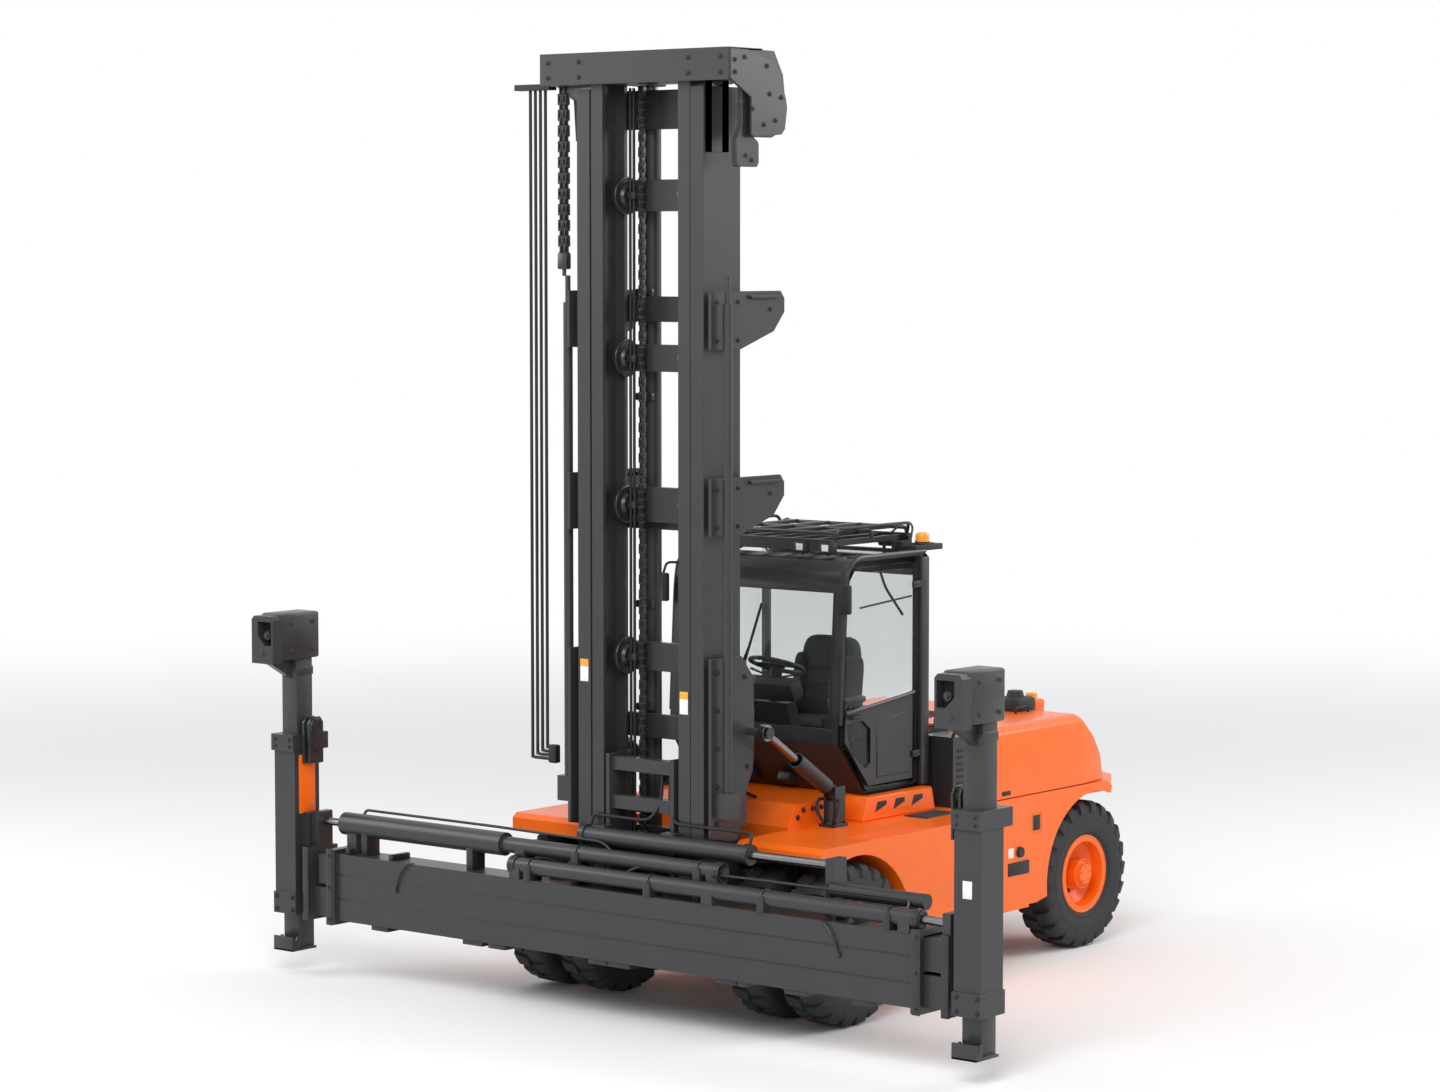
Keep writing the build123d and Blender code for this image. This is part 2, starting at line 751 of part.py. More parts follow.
# End beams: the left one slides in the upper compartment, the right one in the lower
tube_wall = 10
tube_inner_x = 2700
sleeve_outer_x = sleeve_x + sleeve_width
sleeve_span_y = (aft(sleeve_aft), aft(sleeve_aft + sleeve_depth))
post_x = sleeve_x + (sleeve_width - post_width) / 2
post_span_y = (aft(post_aft), aft(post_aft + post_depth))
end_beam_table = (
    ("left", 1, upper_floor_z, left_reach_place),
    ("right", -1, beam_z + beam_wall, right_reach_place),
)
for side, hand, tube_z, place in end_beam_table:
    tube_top = tube_z + beam_height / 2 - 2 * beam_wall - run_gap
    tube_span = sorted((-hand * tube_inner_x, hand * (end_flange_x + 2)))
    tube_y = (beam_inside_y[0] + run_gap, beam_inside_y[1] - run_gap)
    flange_span = sorted((hand * end_flange_x, hand * (end_flange_x + end_flange_thick)))
    sleeve_span = sorted((hand * sleeve_x, hand * sleeve_outer_x))
    link_span = sorted((hand * (end_flange_x + end_flange_thick), hand * sleeve_x))
    inner_span = sorted((hand * (post_x - slide_gap), hand * (post_x + post_width + slide_gap)))
    with BuildPart() as end_beam:
        block(tube_span, tube_y, (tube_z + slide_gap, tube_top))
        block(
            (tube_span[0] - overrun, tube_span[1] + overrun),
            (tube_y[0] + tube_wall, tube_y[1] - tube_wall),
            (tube_z + slide_gap + tube_wall, tube_top - tube_wall),
            mode=Mode.SUBTRACT,
        )
        block(
            flange_span,
            (beam_front_y - 20, beam_back_y + 20),
            (beam_z - 20, beam_top_z + 20),
        )
        block(
            flange_span,
            (aft(place[0] - 70), aft(place[0] + 70)),
            (beam_top_z, place[1] + 70),
        )
        block(link_span, (aft(300), aft(440)), (520, 1150))
        block(sleeve_span, sleeve_span_y, (sleeve_z, sleeve_top))
        clamp_span = (sleeve_span[0] - 12, sleeve_span[1] + 12)
        block(
            (sleeve_span[0] - 8, sleeve_span[1] + 8),
            (sleeve_span_y[0] - 12, sleeve_span_y[1] + 12),
            (430, 580),
        )
        block(
            (sleeve_span[0] - 8, sleeve_span[1] + 8),
            (sleeve_span_y[0] - 25, sleeve_span_y[1] + 86),
            (1587, 1705),
        )
        block(
            inner_span,
            (post_span_y[0] - slide_gap, post_span_y[1] + slide_gap),
            (0, sleeve_top + overrun),
            mode=Mode.SUBTRACT,
        )
    keep(end_beam, f"end_beam_{side}")

    rod_low = hand * (reach_barrel_low + 220)
    with BuildPart() as reach_rod:
        bar((rod_low, aft(place[0]), place[1]), (hand * end_flange_x, aft(place[0]), place[1]), reach_rod_radius)
        bar(
            (rod_low, aft(place[0]), place[1]),
            (rod_low + hand * 60, aft(place[0]), place[1]),
            reach_bore - slide_gap,
        )
    keep(reach_rod, f"reach_rod_{side}")

    # Post: square tube with a hooked foot below and the lock head above
    post_span = sorted((hand * post_x, hand * (post_x + post_width)))
    head_span = (post_span[0] - 30, post_span[1] + 30)
    with BuildPart() as post:
        block(post_span, post_span_y, (foot_z, post_top))
        block(
            (post_span[0] + 12, post_span[1] - 12),
            (post_span_y[0] + 12, post_span_y[1] - 12),
            (foot_z - overrun, post_top - 20),
            mode=Mode.SUBTRACT,
        )
        block((post_span[0] - 20, post_span[1] + 20), (aft(190), post_span_y[1]), (foot_z, foot_z + 20))
        block((post_span[0] - 20, post_span[1] + 20), (aft(190), aft(206)), (foot_z, foot_z + 105))
        block(head_span, (aft(270), aft(500)), (head_z, head_z + head_height))
        block(head_span, (aft(0), aft(270)), (head_z, head_z + 290))
        block(
            (head_span[0] - overrun, head_span[1] + overrun),
            (aft(40), aft(200)),
            (head_z + 120, head_z + 270),
            mode=Mode.SUBTRACT,
        )
    keep(post, f"post_{side}")

# Tilt cylinders: barrels pinned to the deck brackets, rods reaching the mast
eye_half_width = 26
tilt_barrel_radius = 55
tilt_bore = 44
tilt_rod_radius = 28
neck_radius = 25
barrel_share = 0.56
pin_clearance = 10
rise = mast_pin_z - chassis_pin_z
run = mast_pin_aft - chassis_pin_aft
cylinder_length = (rise**2 + run**2) ** 0.5


def along_cylinder(hand, share):
    """A place on the tilt cylinder's line, as a share of its length from the rear pin."""
    return (hand * tilt_cylinder_x, aft(chassis_pin_aft + share * run), chassis_pin_z + share * rise)


def pin_eye(hand, place, radius, mode=Mode.ADD, half_width=eye_half_width):
    """A round eye, or its bore, across the tilt cylinder."""
    bar(
        (hand * (tilt_cylinder_x - half_width), place[1], place[2]),
        (hand * (tilt_cylinder_x + half_width), place[1], place[2]),
        radius,
        mode=mode,
    )


with BuildPart() as tilt_barrels:
    for hand in (-1, 1):
        rear_place = along_cylinder(hand, 0)
        bar(along_cylinder(hand, 0.13), along_cylinder(hand, barrel_share), tilt_barrel_radius)
        bar(rear_place, along_cylinder(hand, 0.14), neck_radius)
        bar(
            along_cylinder(hand, 0.17),
            along_cylinder(hand, barrel_share + 0.1),
            tilt_bore,
            mode=Mode.SUBTRACT,
        )
        pin_eye(hand, rear_place, 2 * mast_pin_radius)
        pin_eye(
            hand, rear_place, mast_pin_radius + bearing_gap, mode=Mode.SUBTRACT, half_width=eye_half_width + 10
        )
keep(tilt_barrels, "tilt_barrels")

with BuildPart() as tilt_rods:
    for hand in (-1, 1):
        front_place = along_cylinder(hand, 1)
        bar(along_cylinder(hand, 0.34), along_cylinder(hand, 0.96), tilt_rod_radius)
        bar(along_cylinder(hand, 0.34), along_cylinder(hand, 0.4), tilt_bore - slide_gap)
        pin_eye(hand, front_place, 2.2 * mast_pin_radius)
        pin_eye(
            hand,
            front_place,
            mast_pin_radius + pin_clearance,
            mode=Mode.SUBTRACT,
            half_width=eye_half_width + 10,
        )
keep(tilt_rods, "tilt_rods")

# Deck height of fenders and side bodies
deck_z = 1225
body_foot_z = 420
fender_front_aft = 840
fender_x = 1345
fender_inner_x = 640
arch_radius = 600
rear_arch_radius = 622
fender_back_aft = 2450
waist_aft = 3050
waist_x = 970
body_back_aft = 3990
body_x = 950
skin = 35
wheel_bay_aft = 3800

with BuildPart() as tilt_brackets:
    for hand in (-1, 1):
        for cheek_side in (-1, 1):
            cheek_low = hand * tilt_cylinder_x + cheek_side * (eye_half_width + 14)
            block(
                (cheek_low - 10, cheek_low + 10),
                (aft(chassis_pin_aft - 60), aft(chassis_pin_aft + 50)),
                (deck_z + 20, chassis_pin_z + 55),
            )
        block(
            (hand * tilt_cylinder_x - 70, hand * tilt_cylinder_x + 70),
            (aft(chassis_pin_aft - 90), aft(chassis_pin_aft + 55)),
            (deck_z, deck_z + 20),
        )
        pin_eye(hand, along_cylinder(hand, 0), mast_pin_radius, half_width=eye_half_width + 24)
keep(tilt_brackets, "tilt_brackets")

# Chassis: two side plates joined by cross plates, with ears for the mast's hinge pins
rail_x = 400
rail_thick = 40
rail_z = 450
rail_top_z = 950
rail_front_aft = 1016
rail_back_aft = 4010
with BuildPart() as chassis:
    for hand in (-1, 1):
        rail_span = sorted((hand * rail_x, hand * (rail_x + rail_thick)))
        ear_span = sorted((hand * (outer_web_x + run_gap), hand * (outer_web_x + 45)))
        web_span = sorted((hand * rail_x, hand * (outer_web_x + 45)))
        side_plate(
            rail_span[0],
            rail_span[1],
            [
                (rail_front_aft, rail_z),
                (rail_back_aft, rail_z),
                (rail_back_aft, rail_top_z),
                (1200, rail_top_z),
                (rail_front_aft, 600),
            ],
        )
        block(ear_span, (aft(rail_front_aft), aft(front_axle_aft - front_tube_radius)), (480, 640))
        block(
            web_span,
            (aft(tilt_axis_aft + 2 * tilt_pin_radius + run_gap), aft(front_axle_aft - front_tube_radius - slide_gap)),
            (480, 640),
        )
        bar(
            (hand * rail_x, aft(tilt_axis_aft), tilt_axis_z),
            (hand * (outer_web_x + 45), aft(tilt_axis_aft), tilt_axis_z),
            tilt_pin_radius,
        )
        for outrigger_aft in (1860, 2700, 3700):
            outrigger_x = sorted((hand * rail_x, hand * fender_inner_x))
            block(outrigger_x, (aft(outrigger_aft), aft(outrigger_aft + 40)), (600, 900))
    for cross_aft, cross_low, cross_high in ((1500, 500, 900), (2300, 450, 900), (2850, 450, 900)):
        block((-rail_x, rail_x), (aft(cross_aft), aft(cross_aft + 40)), (cross_low, cross_high))
    block((-rail_x, rail_x), (aft(rail_back_aft - 60), aft(rail_back_aft)), (450, 640))
    bar(
        (-outer_web_x - 2 * overrun, front_axle_y, axle_z),
        (outer_web_x + 2 * overrun, front_axle_y, axle_z),
        front_tube_radius + slide_gap,
        mode=Mode.SUBTRACT,
    )
    with Locations((0, front_axle_y, axle_z)):
        Sphere(diff_radius + slide_gap, mode=Mode.SUBTRACT)
keep(chassis, "chassis")

# Orange deck under the cab, between the fenders
cowl_outline = [
    (1400, 1120), (1400, 1240), (1470, cab_floor_z), (2930, cab_floor_z), (2930, 960), (1850, 960),
    (1850, 1120),
]
with BuildPart() as cowl:
    side_plate(-fender_inner_x, fender_inner_x, cowl_outline)
keep(cowl, "cowl")

# Fenders and side bodies
fender_outline = [
    (fender_front_aft, 1110), (fender_front_aft, 1195), (fender_front_aft + 40, deck_z),
    (fender_back_aft, deck_z), (fender_back_aft, body_foot_z), (1840, body_foot_z), (1780, 700),
    (1100, 1110),
]
body_plan = [
    (fender_inner_x, fender_back_aft),
    (fender_x, fender_back_aft),
    (waist_x, waist_aft),
    (body_x, wheel_bay_aft),
    (fender_inner_x, wheel_bay_aft),
]
skin_outline = [
    (wheel_bay_aft, 440), (wheel_bay_aft, deck_z), (4800, deck_z), (4870, 1180), (4850, 1060),
    (4650, 600), (3900, 440),
]
for side, hand in sides:
    with BuildPart() as body:
        fender_span = sorted((hand * fender_inner_x, hand * fender_x))
        side_plate(fender_span[0], fender_span[1], fender_outline)
        bar(
            (fender_span[0] - overrun, front_axle_y, axle_z),
            (fender_span[1] + overrun, front_axle_y, axle_z),
            arch_radius,
            mode=Mode.SUBTRACT,
        )
        plate(
            Plane.XY.offset(body_foot_z),
            [(hand * x, aft(back)) for x, back in body_plan],
            deck_z - body_foot_z,
        )
        skin_span = sorted((hand * (body_x - skin), hand * body_x))
        side_plate(skin_span[0], skin_span[1], skin_outline)
        bar(
            (skin_span[0] - overrun, rear_axle_y, axle_z),
            (skin_span[1] + overrun, rear_axle_y, axle_z),
            rear_arch_radius,
            mode=Mode.SUBTRACT,
        )
    keep(body, f"body_{side}")

# Counterweight: a broad top slab over the wheels and a block between them
weight_plan = [
    (0, overall_length), (560, overall_length), (780, 5120), (body_x - skin, 4830),
    (body_x - skin, 4010), (0, 4010),
]
slab_z = 1145
tow_aft = 5200
tow_radius = 22
with BuildPart() as counterweight:
    for hand in (-1, 1):
        plate(
            Plane.XY.offset(slab_z),
            [(hand * x, aft(back)) for x, back in weight_plan],
            deck_z - slab_z,
        )
    block((-200, 200), (aft(4010), aft(5140)), (axle_z + steer_beam_height / 2 + 15, deck_z))
    block((-200, 200), (aft(4010), aft(4570)), (430, deck_z - 10))
    block((-200, 200), (aft(4730), aft(5140)), (430, deck_z - 10))
    bar((0, aft(tow_aft), slab_z - overrun), (0, aft(tow_aft), deck_z + overrun), tow_radius, mode=Mode.SUBTRACT)
    bar((0, aft(4500), axle_z), (0, aft(4800), axle_z), trunnion_radius + slide_gap, mode=Mode.SUBTRACT)
keep(counterweight, "counterweight")

# Engine hood: a shell with sloped shoulders, open below and in front
hood_front_aft = 3345
hood_foot_z = 1230
hood_outline = [
    (hood_front_aft, hood_foot_z), (hood_front_aft, 1700), (3420, 1835), (4300, 1800),
    (4650, 1700), (4860, hood_foot_z),
]
hood_wall = 25
hood_axis_aft = 3335
hood_axis_z = 1770
hood_section = [(-950, 1230), (-950, 1690), (-800, 1840), (800, 1840), (950, 1690), (950, 1230)]
with BuildPart() as hood:
    side_plate(-body_x, body_x, hood_outline)
    with BuildSketch(Plane.XZ.offset(-aft(5100))) as across:
        with BuildLine():
            Polyline(*hood_section, close=True)
        make_face()
    extrude(amount=2200, mode=Mode.INTERSECT)
    hollow = offset(amount=-hood_wall, openings=[hood.faces().sort_by(Axis.Z)[0], hood.faces().sort_by(Axis.Y)[0]])
    for hand in (-1, 1):
        eye_x = sorted((hand * 520, hand * 565))
        block(eye_x, (aft(hood_axis_aft), aft(3400)), (hood_axis_z - 12, hood_axis_z + 12))
        bar((eye_x[0], aft(hood_axis_aft), hood_axis_z), (eye_x[1], aft(hood_axis_aft), hood_axis_z), 16)
        bar(
            (eye_x[0] - overrun, aft(hood_axis_aft), hood_axis_z),
            (eye_x[1] + overrun, aft(hood_axis_aft), hood_axis_z),
            8 + bearing_gap,
            mode=Mode.SUBTRACT,
        )
keep(hood, "hood")

with BuildPart() as engine:
    block((-rail_x, rail_x), (aft(2960), aft(3900)), (645, 1500))
keep(engine, "engine")

with BuildPart() as air_cover:
    block((-900, 900), (aft(2930), aft(3320)), (deck_z, 1720))
    block((-875, 875), (aft(2955), aft(3400)), (deck_z - overrun, 1695), mode=Mode.SUBTRACT)
    for lug_x in (-500, 500):
        block((lug_x - 15, lug_x + 15), (aft(3270), aft(3320)), (1720, hood_axis_z + 16))
        block((lug_x - 15, lug_x + 15), (aft(3270), aft(hood_axis_aft + 8)), (1740, hood_axis_z + 16))
        bar((lug_x, aft(hood_axis_aft), hood_axis_z), (lug_x * 1.14, aft(hood_axis_aft), hood_axis_z), 8)
keep(air_cover, "air_cover")

# Cab: a hollow shell with its windows cut
cab_outline = [
    (1812, 1767), (1885, 2950), (1950, 3005), (2040, 3030), (2920, 3030), (2920, cab_floor_z),
    (2130, cab_floor_z),
]
door_outline = [(1925, 2900), (1862, 1800), (2150, 1430), (2780, 1430), (2780, 2925)]
upper_pane = [(1985, 2840), (1945, 2060), (2715, 2180), (2715, 2860)]
lower_pane = [(1935, 1960), (1920, 1790), (2080, 1570), (2170, 1570), (2170, 1960)]
right_pane = [(1985, 2840), (1930, 1900), (2820, 1900), (2820, 2860)]
screen_z = (1850, 2860)
door_axis_x = 754
door_axis_aft = 2784
door_hinge_heights = (1600, 2780)
screen_x = 655
rear_pane_z = (1900, 2850)
with BuildPart() as cab:
    with BuildSketch(Plane.YZ.offset(-cab_x)) as outside:
        with BuildLine():
            Polyline(*[(aft(back), up) for back, up in cab_outline], close=True)
        make_face()
    extrude(amount=2 * cab_x)
    with BuildSketch(Plane.YZ.offset(-cab_x + cab_wall)) as inside:
        with BuildLine():
            Polyline(*[(aft(back), up) for back, up in cab_outline], close=True)
        make_face()
        offset(amount=-cab_wall, kind=Kind.INTERSECTION)
    extrude(amount=2 * (cab_x - cab_wall), mode=Mode.SUBTRACT)
    block((-screen_x, screen_x), (aft(1760), aft(1930)), screen_z, mode=Mode.SUBTRACT)
    block((-screen_x, screen_x), (aft(2850), aft(2950)), rear_pane_z, mode=Mode.SUBTRACT)
    block((-screen_x, screen_x), (aft(2050), aft(2750)), (2950, 3060), mode=Mode.SUBTRACT)
    side_plate(-cab_x - overrun, -cab_x + cab_wall + overrun, right_pane, mode=Mode.SUBTRACT)
    with BuildSketch(Plane.YZ.offset(cab_x - cab_wall - overrun)) as doorway:
        with BuildLine():
            Polyline(*[(aft(back), up) for back, up in door_outline], close=True)
        make_face()
        offset(amount=run_gap, kind=Kind.INTERSECTION)
    extrude(amount=cab_wall + 2 * overrun, mode=Mode.SUBTRACT)
    for hinge_z in door_hinge_heights:
        hinge_low = (door_axis_x, aft(door_axis_aft), hinge_z - 50)
        bar(hinge_low, (door_axis_x, aft(door_axis_aft), hinge_z - 3), 12)
        bar(hinge_low, (door_axis_x, aft(door_axis_aft), hinge_z + 50), 6)
        block((cab_x - 1, door_axis_x + 4), (aft(door_axis_aft + 6), aft(2840)), (hinge_z - 50, hinge_z - 3))
keep(cab, "cab")

with BuildPart() as cab_door:
    side_plate(cab_x - cab_wall, cab_x, door_outline)
    side_plate(cab_x - cab_wall - overrun, cab_x + overrun, upper_pane, mode=Mode.SUBTRACT)
    side_plate(cab_x - cab_wall - overrun, cab_x + overrun, lower_pane, mode=Mode.SUBTRACT)
    for hinge_z in door_hinge_heights:
        bar(
            (door_axis_x, aft(door_axis_aft), hinge_z),
            (door_axis_x, aft(door_axis_aft), hinge_z + 45),
            12,
        )
        block((cab_x - 1, cab_x + 6), (aft(2700), aft(2778)), (hinge_z, hinge_z + 45))
        block((cab_x + 2, door_axis_x), (aft(2770), aft(door_axis_aft)), (hinge_z, hinge_z + 45))
        bar(
            (door_axis_x, aft(door_axis_aft), hinge_z - overrun),
            (door_axis_x, aft(door_axis_aft), hinge_z + overrun),
            6 + bearing_gap,
            mode=Mode.SUBTRACT,
        )
keep(cab_door, "cab_door")

with BuildPart() as door_glass:
    for pane in (upper_pane, lower_pane):
        with BuildSketch(Plane.YZ.offset(cab_x - cab_wall / 2)) as pane_shape:
            with BuildLine():
                Polyline(*[(aft(back), up) for back, up in pane], close=True)
            make_face()
            offset(amount=-slide_gap, kind=Kind.INTERSECTION)
        extrude(amount=glass_thick)
keep(door_glass, "door_glass")

pane_x = screen_x - slide_gap
with BuildPart() as cab_glass:
    side_plate(-pane_x, pane_x, [(1812 + 8, 1767), (1885 + 8, 2950), (1885 + 16, 2950), (1812 + 16, 1767)])
    block(
        (-pane_x, pane_x),
        (aft(1760), aft(1930)),
        (screen_z[0] + slide_gap, screen_z[1] - slide_gap),
        mode=Mode.INTERSECT,
    )
    block(
        (-pane_x, pane_x),
        (aft(2896), aft(2896 + glass_thick)),
        (rear_pane_z[0] + slide_gap, rear_pane_z[1] - slide_gap),
    )
    with BuildSketch(Plane.YZ.offset(-cab_x + cab_wall / 2)) as right_shape:
        with BuildLine():
            Polyline(*[(aft(back), up) for back, up in right_pane], close=True)
        make_face()
        offset(amount=-slide_gap, kind=Kind.INTERSECTION)
    extrude(amount=glass_thick)
    block(
        (-pane_x, pane_x),
        (aft(2050 + slide_gap), aft(2750 - slide_gap)),
        (2990, 2990 + glass_thick),
    )
keep(cab_glass, "cab_glass")

with BuildPart() as seat:
    block((-170, 170), (aft(2380), aft(2700)), (cab_floor_z + cab_wall, 1700))
    block((-240, 240), (aft(2270), aft(2750)), (1700, 1820))
    side_plate(-230, 230, [(2640, 1820), (2720, 2300), (2800, 2300), (2740, 1820)])
keep(seat, "seat")

with BuildPart() as controls:
    side_plate(-150, 150, [(2200, cab_floor_z + cab_wall), (2300, cab_floor_z + cab_wall), (2110, 1990), (2000, 1990)])
    bar((0, aft(2060), 1950), (0, aft(2085), 2220), 40)
    with Locations(Location((0, aft(2085), 2240), (-20, 0, 0))):
        Torus(190, 14)
        Cylinder(60, 24)
        Box(370, 30, 16)
keep(controls, "controls")

with BuildPart() as roof_guard:
    for guard_x in (-500, -300, -100, 100, 300, 500):
        block((guard_x - 15, guard_x + 15), (aft(1990), aft(2880)), (3090, 3130))
    for guard_back in (1990, 2880):
        block((-560, 560), (aft(guard_back - 20), aft(guard_back + 20)), (3060, 3140))
    for guard_x in (-545, 545):
        block((guard_x - 15, guard_x + 15), (aft(2700), aft(2900)), (3030, 3090))
keep(roof_guard, "roof_guard")

with BuildPart() as beacon:
    block((600, 720), (aft(2920), aft(3040)), (2985, 3005))
    bar((660, aft(2980), 3005), (660, aft(2980), 3090), 20)
    bar((660, aft(2980), 3090), (660, aft(2980), 3185), 45)
keep(beacon, "beacon")
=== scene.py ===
import json
import math
import bmesh
import bpy
from mathutils import Matrix, Vector


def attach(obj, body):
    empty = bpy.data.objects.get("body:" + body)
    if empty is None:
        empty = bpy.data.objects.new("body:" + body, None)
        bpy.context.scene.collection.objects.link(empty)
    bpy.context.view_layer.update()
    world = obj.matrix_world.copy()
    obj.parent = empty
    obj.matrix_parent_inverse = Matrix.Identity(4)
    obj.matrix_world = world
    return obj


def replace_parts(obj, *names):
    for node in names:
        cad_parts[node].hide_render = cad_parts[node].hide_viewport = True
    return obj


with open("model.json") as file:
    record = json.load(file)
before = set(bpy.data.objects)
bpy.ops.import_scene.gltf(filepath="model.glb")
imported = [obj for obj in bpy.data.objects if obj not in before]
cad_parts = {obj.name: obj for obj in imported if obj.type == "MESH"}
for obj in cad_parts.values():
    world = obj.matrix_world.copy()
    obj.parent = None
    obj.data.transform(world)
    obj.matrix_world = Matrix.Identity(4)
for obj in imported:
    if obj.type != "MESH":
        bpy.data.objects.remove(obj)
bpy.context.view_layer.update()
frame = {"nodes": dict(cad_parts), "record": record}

nodes = frame["nodes"]
aftShift = 2.625  # places are read as metres behind the foremost point


# Camera, light and floor
cameraSetup = {
    "place": (16.379, -21.34, 5.089),
    "turn": 39.07,
    "tip": 4.367,
    "lens": 95.92,
}
studio = {
    "skyStrength": 0.62,
    "floorColour": (0.93, 0.93, 0.935, 1),
    "fadeStart": 9.0,
    "fadeEnd": 26.0,
    "lamps": {  # place, size, watts
        "frontLamp": ((7.0, -13.0, 11.0), 9.0, 1500),
        "leftLamp": ((-12.0, -8.0, 8.0), 8.0, 700),
        "backLamp": ((9.0, 12.0, 10.0), 9.0, 900),
    },
}


def addCamera():
    lens = bpy.data.cameras.new("photoCamera")
    lens.lens = cameraSetup["lens"]
    lens.sensor_width = 36
    lens.clip_end = 300
    camera = bpy.data.objects.new("photoCamera", lens)
    camera.location = cameraSetup["place"]
    camera.rotation_euler = (
        math.radians(90 - cameraSetup["tip"]), 0, math.radians(cameraSetup["turn"]))
    bpy.context.scene.collection.objects.link(camera)
    bpy.context.scene.camera = camera


def addLamps():
    for name, (place, size, watts) in studio["lamps"].items():
        lamp = bpy.data.lights.new(name, "AREA")
        lamp.shape = "DISK"
        lamp.size = size
        lamp.energy = watts
        holder = bpy.data.objects.new(name, lamp)
        holder.location = place
        holder.rotation_euler = (
            Vector((0, 0, 1.8)) - Vector(place)).to_track_quat("-Z", "Y").to_euler()
        bpy.context.scene.collection.objects.link(holder)


def link(tree, fromSocket, toSocket):
    tree.links.new(fromSocket, toSocket)


def addWorld():
    world = bpy.data.worlds.new("studioWorld")
    bpy.context.scene.world = world
    world.use_nodes = True
    tree = world.node_tree
    background = tree.nodes["Background"]
    background.inputs["Color"].default_value = (1, 1, 1, 1)
    background.inputs["Strength"].default_value = studio["skyStrength"]
    white = tree.nodes.new("ShaderNodeBackground")
    white.inputs["Color"].default_value = (1, 1, 1, 1)
    white.inputs["Strength"].default_value = 1
    rays = tree.nodes.new("ShaderNodeLightPath")
    mix = tree.nodes.new("ShaderNodeMixShader")
    either = tree.nodes.new("ShaderNodeMath")
    either.operation = "ADD"
    either.use_clamp = True
    both = tree.nodes.new("ShaderNodeMath")
    both.operation = "ADD"
    both.use_clamp = True
    link(tree, rays.outputs["Is Camera Ray"], either.inputs[0])
    link(tree, rays.outputs["Is Transmission Ray"], either.inputs[1])
    link(tree, either.outputs[0], both.inputs[0])
    link(tree, rays.outputs["Is Glossy Ray"], both.inputs[1])
    link(tree, both.outputs[0], mix.inputs[0])
    link(tree, background.outputs[0], mix.inputs[1])
    link(tree, white.outputs[0], mix.inputs[2])
    link(tree, mix.outputs[0], tree.nodes["World Output"].inputs["Surface"])


def addFloor():
    shape = bmesh.new()
    bmesh.ops.create_circle(shape, cap_ends=True, segments=96, radius=90)
    mesh = bpy.data.meshes.new("studioFloor")
    shape.to_mesh(mesh)
    shape.free()
    floor = bpy.data.objects.new("studioFloor", mesh)
    bpy.context.scene.collection.objects.link(floor)
    finish = bpy.data.materials.new("studioFloor")
    finish.use_nodes = True
    tree = finish.node_tree
    matte = tree.nodes["Principled BSDF"]
    matte.inputs["Base Color"].default_value = studio["floorColour"]
    matte.inputs["Roughness"].default_value = 0.85
    matte.inputs["Specular IOR Level"].default_value = 0.2
    glow = tree.nodes.new("ShaderNodeEmission")
    glow.inputs["Strength"].default_value = 1
    spot = tree.nodes.new("ShaderNodeTexCoord")
    reach = tree.nodes.new("ShaderNodeVectorMath")
    reach.operation = "LENGTH"
    fade = tree.nodes.new("ShaderNodeMapRange")
    fade.interpolation_type = "SMOOTHSTEP"
    fade.inputs["From Min"].default_value = studio["fadeStart"]
    fade.inputs["From Max"].default_value = studio["fadeEnd"]
    rays = tree.nodes.new("ShaderNodeLightPath")
    seen = tree.nodes.new("ShaderNodeMath")
    seen.operation = "MULTIPLY"
    mix = tree.nodes.new("ShaderNodeMixShader")
    link(tree, spot.outputs["Object"], reach.inputs[0])
    link(tree, reach.outputs["Value"], fade.inputs["Value"])
    link(tree, fade.outputs["Result"], seen.inputs[0])
    link(tree, rays.outputs["Is Camera Ray"], seen.inputs[1])
    link(tree, seen.outputs[0], mix.inputs[0])
    link(tree, matte.outputs[0], mix.inputs[1])
    link(tree, glow.outputs[0], mix.inputs[2])
    link(tree, mix.outputs[0], tree.nodes["Material Output"].inputs["Surface"])
    mesh.materials.append(finish)


bpy.context.scene.view_settings.view_transform = "Standard"
addCamera()
addLamps()
addWorld()
addFloor()
print("studio ready")

